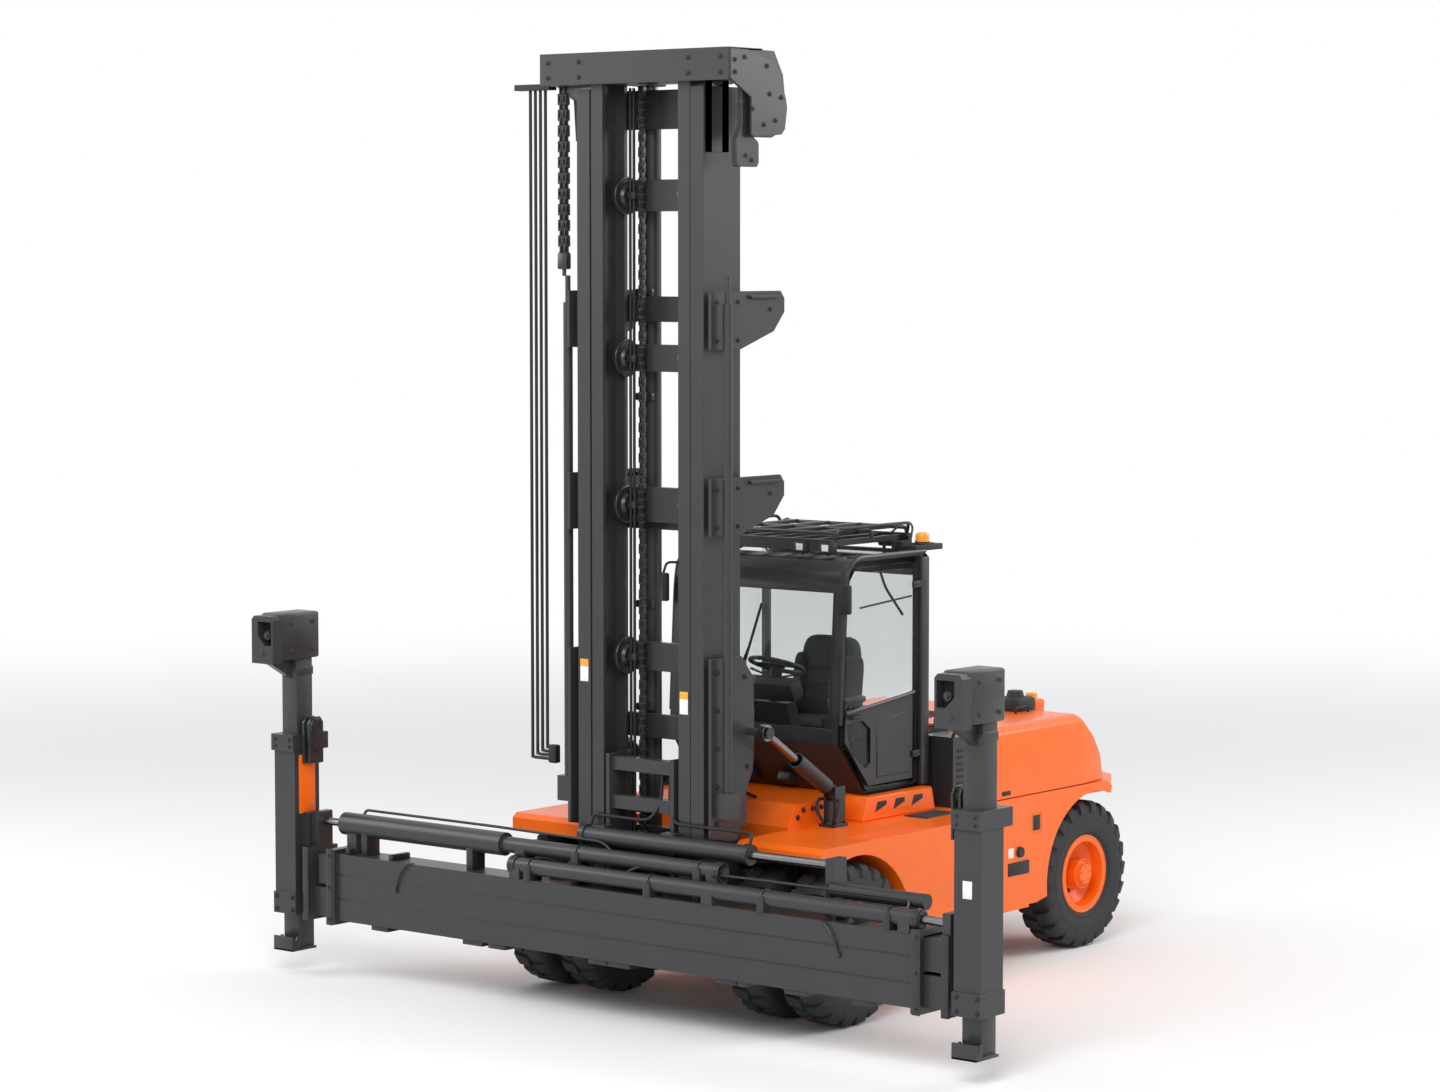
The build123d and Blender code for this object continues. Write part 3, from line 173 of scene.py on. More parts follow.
# Finishes: colour, roughness, coat or metal, and the scale and height of the grain
finishes = {
    "mast_grey": {"colour": (0.031, 0.032, 0.034), "rough": 0.40, "coat": 0.12, "grain": 900, "bump": 0.02},
    "orange_paint": {"colour": (0.93, 0.145, 0.004), "rough": 0.38, "coat": 0.18, "grain": 700,
                     "bump": 0.012},
    "tyre_rubber": {"colour": (0.030, 0.031, 0.033), "rough": 0.72, "grain": 420, "bump": 0.12},
    "rod_chrome": {"colour": (0.23, 0.23, 0.24), "rough": 0.22, "metal": 1.0, "grain": 500, "bump": 0.01},
    "seat_fabric": {"colour": (0.022, 0.023, 0.025), "rough": 0.85, "grain": 1200, "bump": 0.06},
    "black_plastic": {"colour": (0.018, 0.018, 0.019), "rough": 0.55, "grain": 1100, "bump": 0.02},
    "chain_steel": {"colour": (0.06, 0.058, 0.055), "rough": 0.36, "metal": 0.7, "grain": 600, "bump": 0.05},
    "hose_black": {"colour": (0.012, 0.012, 0.013), "rough": 0.50, "grain": 500, "bump": 0.01},
    "black_metal": {"colour": (0.020, 0.021, 0.022), "rough": 0.38, "coat": 0.2, "grain": 900, "bump": 0.02},
    "amber_lens": {"colour": (0.95, 0.36, 0.02), "rough": 0.18, "coat": 0.5, "grain": 300, "bump": 0.02},
    "lamp_glass": {"colour": (0.62, 0.64, 0.66), "rough": 0.12, "coat": 0.8, "grain": 260, "bump": 0.05},
    "plate_white": {"colour": (0.78, 0.78, 0.77), "rough": 0.35, "coat": 0.3, "grain": 600, "bump": 0.01},
    "engine_iron": {"colour": (0.09, 0.09, 0.095), "rough": 0.6, "metal": 0.6, "grain": 300, "bump": 0.15},
}
edgeRadius = 0.005
mottleLook = {"scale": 3.5, "detail": 5, "darker": 0.9, "lighter": 1.1, "smoother": 0.85, "rougher": 1.15}
glassLook = {"tint": (0.94, 0.97, 0.965, 1), "bend": 1.02, "coat": 0.35, "smearScale": 2.5, "clean": 0.02,
             "smeared": 0.06}


def makeFinish(name, look):
    finish = bpy.data.materials.new(name)
    finish.use_nodes = True
    tree = finish.node_tree
    paint = tree.nodes["Principled BSDF"]
    spot = tree.nodes.new("ShaderNodeTexCoord")
    mottle = tree.nodes.new("ShaderNodeTexNoise")
    mottle.inputs["Scale"].default_value = mottleLook["scale"]
    mottle.inputs["Detail"].default_value = mottleLook["detail"]
    tone = tree.nodes.new("ShaderNodeMixRGB")
    tone.inputs[1].default_value = (*[part * mottleLook["darker"] for part in look["colour"]], 1)
    tone.inputs[2].default_value = (*[min(part * mottleLook["lighter"], 1) for part in look["colour"]], 1)
    shine = tree.nodes.new("ShaderNodeMapRange")
    shine.inputs["To Min"].default_value = look["rough"] * mottleLook["smoother"]
    shine.inputs["To Max"].default_value = look["rough"] * mottleLook["rougher"]
    grain = tree.nodes.new("ShaderNodeTexNoise")
    grain.inputs["Scale"].default_value = look["grain"]
    grain.inputs["Detail"].default_value = 3
    bump = tree.nodes.new("ShaderNodeBump")
    bump.inputs["Strength"].default_value = look["bump"] * 4
    bump.inputs["Distance"].default_value = 0.001
    edge = tree.nodes.new("ShaderNodeBevel")
    edge.samples = 4
    edge.inputs["Radius"].default_value = edgeRadius
    link(tree, spot.outputs["Object"], mottle.inputs["Vector"])
    link(tree, spot.outputs["Object"], grain.inputs["Vector"])
    link(tree, mottle.outputs["Fac"], tone.inputs[0])
    link(tree, mottle.outputs["Fac"], shine.inputs["Value"])
    link(tree, tone.outputs[0], paint.inputs["Base Color"])
    link(tree, shine.outputs["Result"], paint.inputs["Roughness"])
    link(tree, grain.outputs["Fac"], bump.inputs["Height"])
    link(tree, edge.outputs["Normal"], bump.inputs["Normal"])
    link(tree, bump.outputs["Normal"], paint.inputs["Normal"])
    paint.inputs["Metallic"].default_value = look.get("metal", 0)
    paint.inputs["Coat Weight"].default_value = look.get("coat", 0)
    paint.inputs["Coat Roughness"].default_value = 0.12
    paint.inputs["Specular IOR Level"].default_value = 0.35
    return finish


def makeGlass():
    glass = bpy.data.materials.new("window_glass")
    glass.use_nodes = True
    tree = glass.node_tree
    pane = tree.nodes["Principled BSDF"]
    pane.inputs["Base Color"].default_value = glassLook["tint"]
    pane.inputs["Transmission Weight"].default_value = 1
    pane.inputs["IOR"].default_value = glassLook["bend"]
    pane.inputs["Coat Weight"].default_value = glassLook["coat"]
    spot = tree.nodes.new("ShaderNodeTexCoord")
    smear = tree.nodes.new("ShaderNodeTexNoise")
    smear.inputs["Scale"].default_value = glassLook["smearScale"]
    level = tree.nodes.new("ShaderNodeMapRange")
    level.inputs["To Min"].default_value = glassLook["clean"]
    level.inputs["To Max"].default_value = glassLook["smeared"]
    link(tree, spot.outputs["Object"], smear.inputs["Vector"])
    link(tree, smear.outputs["Fac"], level.inputs["Value"])
    link(tree, level.outputs["Result"], pane.inputs["Roughness"])
    return glass


materials = {name: makeFinish(name, look) for name, look in finishes.items()}
materials["window_glass"] = makeGlass()
for entry in frame["record"]["subparts"]:
    mesh = nodes[entry["node"]].data
    mesh.materials.clear()
    mesh.materials.append(materials[entry["material_slot"]])
handed = (("Left", "left", 1), ("Right", "right", -1))  # name in a piece, name in a node, sign of X
print("finishes on the frame")


# Shapes are built with Y as the distance behind the foremost point, and moved at the end
def addBox(shape, low, high, soft=0.0, turn=None):
    made = bmesh.ops.create_cube(shape, size=1)["verts"]
    size = [top - foot for foot, top in zip(low, high)]
    middle = [(top + foot) / 2 for foot, top in zip(low, high)]
    bmesh.ops.scale(shape, vec=size, verts=made)
    if turn:
        angle, axis = turn
        bmesh.ops.rotate(shape, matrix=Matrix.Rotation(math.radians(angle), 3, axis), verts=made)
    bmesh.ops.translate(shape, vec=middle, verts=made)
    if soft:
        edges = list({edge for vert in made for edge in vert.link_edges})
        bmesh.ops.bevel(shape, geom=edges, offset=soft, segments=2, profile=0.5,
                        affect="EDGES", material=-1)


def addRod(shape, start, end, radius, sides=20, tip=None):
    run = Vector(end) - Vector(start)
    spot = Matrix.Translation((Vector(start) + Vector(end)) / 2)
    bmesh.ops.create_cone(shape, cap_ends=True, segments=sides, radius1=radius,
                          radius2=radius if tip is None else tip, depth=run.length,
                          matrix=spot @ run.to_track_quat("Z", "Y").to_matrix().to_4x4())


def addSlab(shape, x, half, low, high, soft=0.0):
    addBox(shape, (x - half, *low), (x + half, *high), soft)


def addPin(shape, startX, endX, back, up, radius, sides=20, tip=None):
    addRod(shape, (startX, back, up), (endX, back, up), radius, sides, tip)


def addBolt(shape, place, way, size=0.014):
    way = Vector(way).normalized()
    foot = Vector(place) - way * size * 0.2
    addRod(shape, foot, foot + way * size * 0.45, size * 1.35, 18)
    addRod(shape, foot, foot + way * size * 1.15, size, 6)
    addRod(shape, foot, foot + way * size * 1.5, size * 0.5, 10)


def addPanel(shape, outline, push, soft=0.0):
    face = shape.faces.new([shape.verts.new(place) for place in outline])
    made = bmesh.ops.extrude_face_region(shape, geom=[face])["geom"]
    far = [part for part in made if isinstance(part, bmesh.types.BMVert)]
    bmesh.ops.translate(shape, vec=push, verts=far)
    if soft:
        edges = list({edge for vert in far for edge in vert.link_edges})
        bmesh.ops.bevel(shape, geom=edges, offset=soft, segments=1, profile=0.5,
                        affect="EDGES", material=-1)


def addFrame(shape, outline, width, push):
    face = shape.faces.new([shape.verts.new(place) for place in outline])
    rim = bmesh.ops.inset_region(shape, faces=[face], thickness=width, use_boundary=True,
                                 use_even_offset=True)
    bmesh.ops.delete(shape, geom=[face], context="FACES_ONLY")
    made = bmesh.ops.extrude_face_region(shape, geom=rim["faces"], use_keep_orig=True)["geom"]
    far = [part for part in made if isinstance(part, bmesh.types.BMVert)]
    bmesh.ops.translate(shape, vec=push, verts=far)


def addHoledPanel(shape, outline, hole, push):
    rim = [shape.verts.new(place) for place in outline]
    inner = [shape.verts.new(place) for place in hole]
    edges = [shape.edges.new(pair) for ring in (rim, inner) for pair in zip(ring, ring[1:] + ring[:1])]
    filled = bmesh.ops.triangle_fill(shape, edges=edges, use_beauty=True)["geom"]
    flat = [part for part in filled if isinstance(part, bmesh.types.BMFace)]
    made = bmesh.ops.extrude_face_region(shape, geom=flat, use_keep_orig=True)["geom"]
    far = [part for part in made if isinstance(part, bmesh.types.BMVert)]
    bmesh.ops.translate(shape, vec=push, verts=far)


def addHoop(shape, centre, ring, wire, axis=(1, 0, 0), steps=48):
    facing = Vector(axis).to_track_quat("Z", "Y").to_matrix().to_4x4()
    spot = Matrix.Translation(centre) @ facing
    start = spot @ Matrix.Translation((ring, 0, 0)) @ Matrix.Rotation(math.pi / 2, 4, "X")
    made = bmesh.ops.create_circle(shape, segments=10, radius=wire, matrix=start)["verts"]
    edges = list({edge for vert in made for edge in vert.link_edges})
    bmesh.ops.spin(shape, geom=made + edges, cent=centre, axis=Vector(axis), steps=steps,
                   angle=math.tau, use_merge=True)


def addSpun(shape, centre, profile, steps=72):
    # profile: (offset along X, radius), closed and turned about X
    start = [shape.verts.new((centre[0] + x, centre[1], centre[2] + r)) for x, r in profile]
    ring = [shape.edges.new((a, b)) for a, b in zip(start, start[1:] + start[:1])]
    bmesh.ops.spin(shape, geom=start + ring, cent=centre, axis=(1, 0, 0), steps=steps,
                   angle=math.tau, use_merge=True)


def bentPath(points, bend):
    points = [Vector(place) for place in points]
    path = [points[0]]
    for before, here, after in zip(points, points[1:], points[2:]):
        reach = min(bend, (here - before).length / 2, (after - here).length / 2)
        enter = here + (before - here).normalized() * reach
        leave = here + (after - here).normalized() * reach
        for step in range(7):
            t = step / 6
            path.append(enter * (1 - t) ** 2 + here * 2 * t * (1 - t) + leave * t * t)
    return path + [points[-1]]


def addPipe(shape, points, radius, bend=0.08):
    line = bpy.data.curves.new("pipeLine", "CURVE")
    line.dimensions = "3D"
    line.bevel_depth = radius
    line.bevel_resolution = 2
    line.use_fill_caps = True
    path = bentPath(points, bend)
    strand = line.splines.new("POLY")
    strand.points.add(len(path) - 1)
    for point, place in zip(strand.points, path):
        point.co = (*place, 1)
    holder = bpy.data.objects.new("pipeLine", line)
    mesh = bpy.data.meshes.new_from_object(holder)
    shape.from_mesh(mesh)
    bpy.data.objects.remove(holder)
    bpy.data.meshes.remove(mesh)
    bmesh.ops.remove_doubles(shape, verts=shape.verts, dist=0.00005)


def addPad(shape, low, high, power=5, turn=0):
    pad = bmesh.new()
    bmesh.ops.create_cube(pad, size=2)
    bmesh.ops.subdivide_edges(pad, edges=pad.edges, cuts=9, use_grid_fill=True)
    size = [(top - foot) / 2 for foot, top in zip(low, high)]
    for vert in pad.verts:  # a soft box: corners pulled in, faces crowned
        pull = sum(abs(part) ** power for part in vert.co) ** (1 / power)
        vert.co = [part / pull * half for part, half in zip(vert.co, size)]
    bmesh.ops.rotate(pad, matrix=Matrix.Rotation(math.radians(turn), 3, "X"), verts=pad.verts)
    bmesh.ops.translate(pad, verts=pad.verts,
                        vec=[(top + foot) / 2 for foot, top in zip(low, high)])
    mesh = bpy.data.meshes.new("pad")
    pad.to_mesh(mesh)
    pad.free()
    shape.from_mesh(mesh)
    bpy.data.meshes.remove(mesh)


def finishPiece(name, shape, body, finish, turn=35):
    bmesh.ops.translate(shape, vec=(0, -aftShift, 0), verts=shape.verts)
    bmesh.ops.recalc_face_normals(shape, faces=shape.faces)
    for face in shape.faces:
        face.smooth = True
    for edge in shape.edges:
        edge.smooth = edge.calc_face_angle(3.2) < math.radians(turn)
    mesh = bpy.data.meshes.new(name)
    shape.to_mesh(mesh)
    shape.free()
    mesh.materials.append(materials[finish])
    piece = bpy.data.objects.new(name, mesh)
    bpy.context.scene.collection.objects.link(piece)
    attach(piece, body)
    return piece


# Tyres: a spun carcass with two staggered rows of lugs that wrap over the shoulder
axleHeight = 0.5425
frontAft = 1.25
rearAft = 4.65
twinX = 0.752
outerX = 1.190
rearX = 0.735
tyreLook = {
    "halfProfile": [(0.118, 0.290), (0.127, 0.298), (0.140, 0.335), (0.148, 0.385), (0.146, 0.440),
                    (0.139, 0.475), (0.128, 0.500), (0.100, 0.511), (0.050, 0.514)],
    "lugProfile": [(0.010, 0.505), (0.012, 0.5395), (0.105, 0.5375), (0.131, 0.527),
                   (0.1485, 0.492), (0.1495, 0.448), (0.136, 0.448), (0.120, 0.498)],
    "lugs": 22,
    "lugHalf": 0.047,
    "skew": 9,
    "wallX": 0.1445,
    "wallRibs": ((1, 0.405, 0.0045), (0.93, 0.318, 0.005)),  # share of wallX, ring, wire
}
tyreTable = [
    ("front_tyres_left", "front_wheels_left", (twinX, outerX), frontAft),
    ("front_tyres_right", "front_wheels_right", (-twinX, -outerX), frontAft),
    ("rear_tyre_left", "rear_wheel_left", (rearX,), rearAft),
    ("rear_tyre_right", "rear_wheel_right", (-rearX,), rearAft),
]


def addTyre(shape, wheelX, wheelAft):
    half = tyreLook["halfProfile"]
    addSpun(shape, (wheelX, wheelAft, axleHeight), half + [(-x, r) for x, r in reversed(half)], 88)
    for row in (1, -1):
        for number in range(tyreLook["lugs"]):
            lug = bmesh.new()
            outline = [(row * x, -tyreLook["lugHalf"], r) for x, r in tyreLook["lugProfile"]]
            addPanel(lug, outline, (0, 2 * tyreLook["lugHalf"], 0), 0.006)
            bmesh.ops.rotate(lug, verts=lug.verts, cent=(0, 0, 0.5),
                             matrix=Matrix.Rotation(math.radians(row * tyreLook["skew"]), 3, "Z"))
            around = math.tau * (number + 0.5 * (row > 0)) / tyreLook["lugs"]
            bmesh.ops.rotate(lug, verts=lug.verts, matrix=Matrix.Rotation(around, 3, "X"))
            bmesh.ops.translate(lug, verts=lug.verts, vec=(wheelX, wheelAft, axleHeight))
            mesh = bpy.data.meshes.new("lug")
            lug.to_mesh(mesh)
            lug.free()
            shape.from_mesh(mesh)
            bpy.data.meshes.remove(mesh)


for node, body, wheelXs, wheelAft in tyreTable:
    treads = bmesh.new()
    for wheelX in wheelXs:
        addTyre(treads, wheelX, wheelAft)
        for offset in (tyreLook["wallX"], -tyreLook["wallX"]):
            for share, ring, wire in tyreLook["wallRibs"]:
                addHoop(treads, (wheelX + offset * share, wheelAft, axleHeight), ring, wire, steps=72)
    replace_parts(finishPiece(node + "_tread", treads, body, "tyre_rubber"), node)
print("tyres ready")

# Rims: spun wells with lock rings, nuts on the bosses, hub caps and the twins' valve
barrel = [(-0.122, 0.286), (-0.108, 0.286), (-0.108, 0.2535), (0.108, 0.2535), (0.108, 0.286), (0.122, 0.286),
          (0.122, 0.240)]
rimLook = {
    "twinProfile": barrel + [(-0.122, 0.240)],
    "frontProfile": barrel + [(-0.06, 0.236), (-0.094, 0.232), (-0.094, 0.172), (-0.032, 0.165),
                              (-0.032, 0.112), (-0.002, 0.108), (0.018, 0.062), (0.018, 0.002),
                              (-0.10, 0.002), (-0.122, 0.240)],
    "rearProfile": barrel + [(0.100, 0.236), (0.035, 0.230), (0.010, 0.205), (-0.020, 0.165), (-0.020, 0.104),
                             (0.100, 0.100), (0.108, 0.090), (0.108, 0.002), (-0.06, 0.002), (-0.06, 0.15),
                             (-0.03, 0.205), (0.0, 0.236), (-0.10, 0.240), (-0.122, 0.240)],
    # nuts: X, ring, count, size
    "frontNuts": ((1.096, 0.2025, 10, 0.015), (1.158, 0.140, 8, 0.010), (1.208, 0.044, 6, 0.006)),
    "rearNuts": ((0.715, 0.137, 6, 0.013),),
    "capNuts": ((0.872, 0.056, 5, 0.006),),
    "lockRings": ((0.118, 0.281, 0.008), (0.113, 0.247, 0.006)),  # off the wheel's middle, ring, wire
    "rearRings": ((0.118, 0.281, 0.008), (0.108, 0.245, 0.006), (0.108, 0.104, 0.006)),
    "spacer": (0.86, 1.085, 0.250),  # from X, to X, radius
    "axleEnd": (0.672, 0.87, 0.108),
    "valve": ((1.09, 0.77), (1.20, 0.775), (1.24, 0.76)),  # X, height
}


def ringPlaces(centre, ring, count, shift=0.0):
    return [(centre[0], centre[1] + ring * math.sin(math.tau * (step + shift) / count),
             centre[2] + ring * math.cos(math.tau * (step + shift) / count)) for step in range(count)]


def addNuts(shape, hand, wheelAft, table):
    for x, ring, count, size in table:
        for place in ringPlaces((hand * x, wheelAft, axleHeight), ring, count):
            addBolt(shape, place, (hand, 0, 0), size)


def addRim(shape, hand, wheelX, wheelAft, profile, rings):
    addSpun(shape, (hand * wheelX, wheelAft, axleHeight), [(hand * x, r) for x, r in profile])
    for off, ring, wire in rings:
        addHoop(shape, (hand * (wheelX + off), wheelAft, axleHeight), ring, wire,
                steps=60 if ring < 0.2 else 72)


for side, sideNode, hand in handed:
    nuts = bmesh.new()
    addNuts(nuts, hand, frontAft, rimLook["frontNuts"])
    finishPiece("frontNuts" + side, nuts, "front_wheels_" + sideNode, "chain_steel")
    rims = bmesh.new()
    addRim(rims, hand, twinX, frontAft, rimLook["twinProfile"], rimLook["lockRings"])
    addRim(rims, hand, outerX, frontAft, rimLook["frontProfile"], rimLook["lockRings"])
    for part, sides in (("spacer", 60), ("axleEnd", 40)):
        start, end, radius = rimLook[part]
        addPin(rims, hand * start, hand * end, frontAft, axleHeight, radius, sides)
    addPipe(rims, [(hand * x, frontAft, up) for x, up in rimLook["valve"]], 0.005, 0.02)
    rims = finishPiece("frontRims" + side, rims, "front_wheels_" + sideNode, "orange_paint")
    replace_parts(rims, "front_rims_" + sideNode)
    nuts = bmesh.new()
    addNuts(nuts, hand, rearAft, rimLook["rearNuts"])
    finishPiece("rearNuts" + side, nuts, "rear_wheel_" + sideNode, "chain_steel")
    rim = bmesh.new()
    addRim(rim, hand, rearX, rearAft, rimLook["rearProfile"], rimLook["rearRings"])
    addPin(rim, hand * 0.840, hand * 0.872, rearAft, axleHeight, 0.082, 40, 0.074)
    addNuts(rim, hand, rearAft, rimLook["capNuts"])
    rim = finishPiece("rearRim" + side, rim, "rear_wheel_" + sideNode, "orange_paint")
    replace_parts(rim, "rear_rim_" + sideNode)
print("rims ready")

# Seat: soft cushions on a sprung base, in place of the plain seat
seatLook = {
    "cushion": ((-0.245, 2.27, 1.70), (0.245, 2.72, 1.845)),
    "sideRoll": ((0.210, 2.30, 1.76), (0.280, 2.70, 1.885)),
    "backRoll": ((0.175, 2.575, 1.83), (0.255, 2.755, 2.27)),
    "back": ((-0.235, 2.625, 1.80), (0.235, 2.765, 2.40)),
    "lean": -7,
    "ribHeights": (1.98, 2.10, 2.22),
    "ribLean": 0.12,
    "fill": 0.85,
}
baseLook = {
    "plinth": ((-0.17, 2.38, 1.43), (0.17, 2.68, 1.66), 0.02),
    "pan": ((-0.21, 2.30, 1.67), (0.21, 2.71, 1.715), 0.01),
    "backPlate": ((-0.20, 2.745, 1.75), (0.20, 2.785, 2.28), 0.015),
    "armrest": ((0.27, 2.30, 1.955), (0.35, 2.66, 2.0), 0.015),
    "armPost": ((0.28, 2.55, 1.70), (0.32, 2.66, 1.96), 0.01),
    "bellows": 5,
    "bellowsPitch": 0.035,
}
cabinLook = {
    "dash": ((-0.26, 1.93, 2.02), (0.26, 2.05, 2.16), 0.02, (24, "X")),
    "pedals": (((0.10, 1.96, 1.44), (0.20, 2.08, 1.50)), ((-0.22, 1.96, 1.44), (-0.12, 2.08, 1.50))),
    "console": ((-0.66, 2.25, 1.44), (-0.42, 2.78, 1.86), 0.03),
    "dials": (-0.12, 0, 0.12),
    "wheelTilt": math.radians(20),
    "levers": 4,
    "leverPitch": 0.09,
}


def flipX(corners, hand):
    low, high = corners[:2]
    xs = sorted((hand * low[0], hand * high[0]))
    return ((xs[0], *low[1:]), (xs[1], *high[1:]), *corners[2:])


seat = bmesh.new()
addPad(seat, *seatLook["cushion"])
for hand in (1, -1):
    addPad(seat, *flipX(seatLook["sideRoll"], hand))
    addPad(seat, *flipX(seatLook["backRoll"], hand), turn=seatLook["lean"])
addPad(seat, *seatLook["back"], turn=seatLook["lean"])
for up in seatLook["ribHeights"]:
    back = 2.60 + (up - seatLook["ribHeights"][0]) * seatLook["ribLean"]
    addPad(seat, (-0.15, back, up - 0.052), (0.15, back + 0.06, up + 0.052), turn=seatLook["lean"])
seat = finishPiece("seatCushions", seat, "truck", "seat_fabric", 60)
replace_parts(seat, "seat")
base = bmesh.new()
for part in ("plinth", "pan", "backPlate"):
    addBox(base, *baseLook[part])
for step in range(baseLook["bellows"]):
    up = 1.50 + baseLook["bellowsPitch"] * step
    addBox(base, (-0.19, 2.36, up), (0.19, 2.70, up + 0.02), 0.006)
for hand in (1, -1):
    addBox(base, *flipX(baseLook["armrest"], hand))
    addBox(base, *flipX(baseLook["armPost"], hand))
    addRod(base, (hand * 0.31, 2.33, 2.0), (hand * 0.31, 2.30, 2.09), 0.012, tip=0.018)
finishPiece("seatBase", base, "truck", "black_plastic")

# Dash with dials, steering wheel, pedals and the lever console
cabin = bmesh.new()
addBox(cabin, *cabinLook["dash"])
for x in cabinLook["dials"]:
    addHoop(cabin, (x, 2.045, 2.11), 0.042, 0.004, (0, 1, 0.45))
for hand in (1, -1):
    addRod(cabin, (hand * 0.05, 2.07, 2.16), (hand * 0.24, 2.10, 2.20), 0.006, tip=0.009)
addHoop(cabin, (0, 2.085, 2.24), 0.19, 0.0155,
        (0, math.sin(cabinLook["wheelTilt"]), math.cos(cabinLook["wheelTilt"])))
for low, high in cabinLook["pedals"]:
    addBox(cabin, low, high, 0.01, (-25, "X"))
addBox(cabin, *cabinLook["console"])
for step in range(cabinLook["levers"]):
    back = 2.33 + cabinLook["leverPitch"] * step
    addRod(cabin, (-0.5, back, 1.86), (-0.5, back - 0.02, 1.96), 0.008, tip=0.016)
finishPiece("cabinTrim", cabin, "truck", "black_plastic")
print("cabin ready")

# Cab shell and door with rounder outlines: lists of (aft, height) points
cabLook = {
    "sideX": 0.74,
    "doorX": 0.742,
    "skinX": 0.735,
    "glass": 0.006,
    "hingeAft": 2.784,
    "hingeX": 0.754,
    "hinges": (1.60, 2.78),
    "screenFoot": (1.812, 1.767),
    "screenLean": 0.0618,
    "side": [(1.812, 1.767), (1.875, 2.82), (1.900, 2.93), (1.965, 3.005), (2.06, 3.03), (2.79, 3.03),
             (2.85, 2.985), (2.85, 1.39), (2.13, 1.39)],
    "brow": [(1.872, 2.79), (1.875, 2.82), (1.900, 2.93), (1.965, 3.005), (2.06, 3.03), (2.06, 2.998),
             (1.985, 2.975), (1.935, 2.915), (1.912, 2.82), (1.909, 2.79)],
    "foot": [(1.812, 1.767), (1.818, 1.865), (1.852, 1.865), (1.846, 1.78), (2.145, 1.43), (2.145, 1.39),
             (2.13, 1.39)],
    "pillar": [(1.818, 1.86), (1.874, 2.80), (1.915, 2.80), (1.858, 1.86)],
    "door": [(1.862, 1.755), (1.922, 2.78), (1.942, 2.87), (1.995, 2.935), (2.08, 2.955), (2.70, 2.955),
             (2.716, 2.94), (2.716, 1.432), (2.70, 1.415), (2.16, 1.415), (2.125, 1.43), (1.872, 1.725)],
    "skirt": [(1.900, 1.775), (1.912, 1.962), (2.675, 2.050), (2.675, 1.452), (2.168, 1.452)],
    "lowerPane": [(1.925, 1.895), (2.10, 1.905), (2.185, 1.844), (2.185, 1.61), (2.135, 1.575),
                  (1.965, 1.70)],
    "upperPane": [(1.905, 1.98), (1.955, 2.78), (1.99, 2.865), (2.06, 2.915), (2.68, 2.915), (2.68, 2.072)],
}


def atX(x, outline):
    return [(x, back, up) for back, up in outline]


def screenAft(up):
    back, foot = cabLook["screenFoot"]
    return back + (up - foot) * cabLook["screenLean"]


def across(halfX, foot, top):
    return [(-halfX, *foot), (halfX, *foot), (halfX, *top), (-halfX, *top)]


shell = bmesh.new()
for hand in (1, -1):
    addFrame(shell, atX(hand * cabLook["sideX"], cabLook["side"]), 0.045, (hand * -0.045, 0, 0))
    addPanel(shell, atX(hand * 0.655, cabLook["pillar"]), (hand * 0.05, 0, 0), 0.008)
    rail = [(2.02, 3.03), (2.82, 3.03), (2.82, 2.995), (2.02, 2.995)]
    addPanel(shell, atX(hand * 0.655, rail), (hand * 0.075, 0, 0), 0.004)
    edging = [(1.835, 1.90), (1.885, 2.80), (1.915, 2.95), (2.02, 3.025), (2.80, 3.028)]
    addPipe(shell, atX(hand * 0.745, edging), 0.014, 0.09)
addPanel(shell, atX(-0.70, cabLook["brow"]), (1.40, 0, 0), 0.004)
addPanel(shell, atX(-0.70, cabLook["foot"]), (1.40, 0, 0), 0.004)
addPanel(shell, atX(-0.735, [(1.83, 1.80), (1.84, 1.90), (2.82, 1.90), (2.82, 1.42), (2.14, 1.42)]),
         (0.03, 0, 0))
addBox(shell, (-0.70, 2.815, 1.39), (0.70, 2.85, 1.90), 0.006)
addBox(shell, (-0.70, 2.75, 2.995), (0.70, 2.83, 3.03), 0.006)
addBox(shell, (-0.70, 2.815, 2.85), (0.70, 2.85, 2.99), 0.006)
addBox(shell, (-0.70, 2.13, 1.39), (0.70, 2.82, 1.432), 0.004)
addBox(shell, (0.70, 2.745, 1.395), (0.762, 2.838, 2.99), 0.012)
for hand in (1, -1):
    addSlab(shell, hand * 0.68, 0.03, (2.815, 1.88), (2.85, 2.88), 0.006)
for up in cabLook["hinges"]:
    x, back = cabLook["hingeX"], cabLook["hingeAft"]
    addRod(shell, (x, back, up - 0.05), (x, back, up - 0.003), 0.012)
    addRod(shell, (x, back, up - 0.05), (x, back, up + 0.05), 0.006)
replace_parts(finishPiece("cabShell", shell, "truck", "black_metal", 40), "cab")
seals = bmesh.new()
sealFoot, sealTop = 1.862, 2.80
addFrame(seals, across(0.668, (screenAft(sealFoot) - 0.003, sealFoot), (screenAft(sealTop) - 0.003, sealTop)),
         0.020, (0, 0.02, 0))
addFrame(seals, across(0.668, (2.853, 1.89), (2.853, 2.86)), 0.022, (0, -0.02, 0))
finishPiece("windowSeals", seals, "truck", "black_plastic")
panes = bmesh.new()
glass = cabLook["glass"]
addPanel(panes, across(0.66, (1.828, 1.86), (1.886, 2.80)), (0, glass, 0))
addPanel(panes, across(0.66, (2.83, 1.895), (2.83, 2.855)), (0, glass, 0))
sidePane = [(1.86, 1.90), (1.915, 2.80), (1.94, 2.90), (2.02, 2.97), (2.80, 2.97), (2.80, 1.90)]
addPanel(panes, atX(-0.722, sidePane), (glass, 0, 0))
addPanel(panes, across(0.66, (2.055, 3.012), (2.755, 3.012)), (0, 0, glass))
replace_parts(finishPiece("cabPanes", panes, "truck", "window_glass"), "cab_glass")
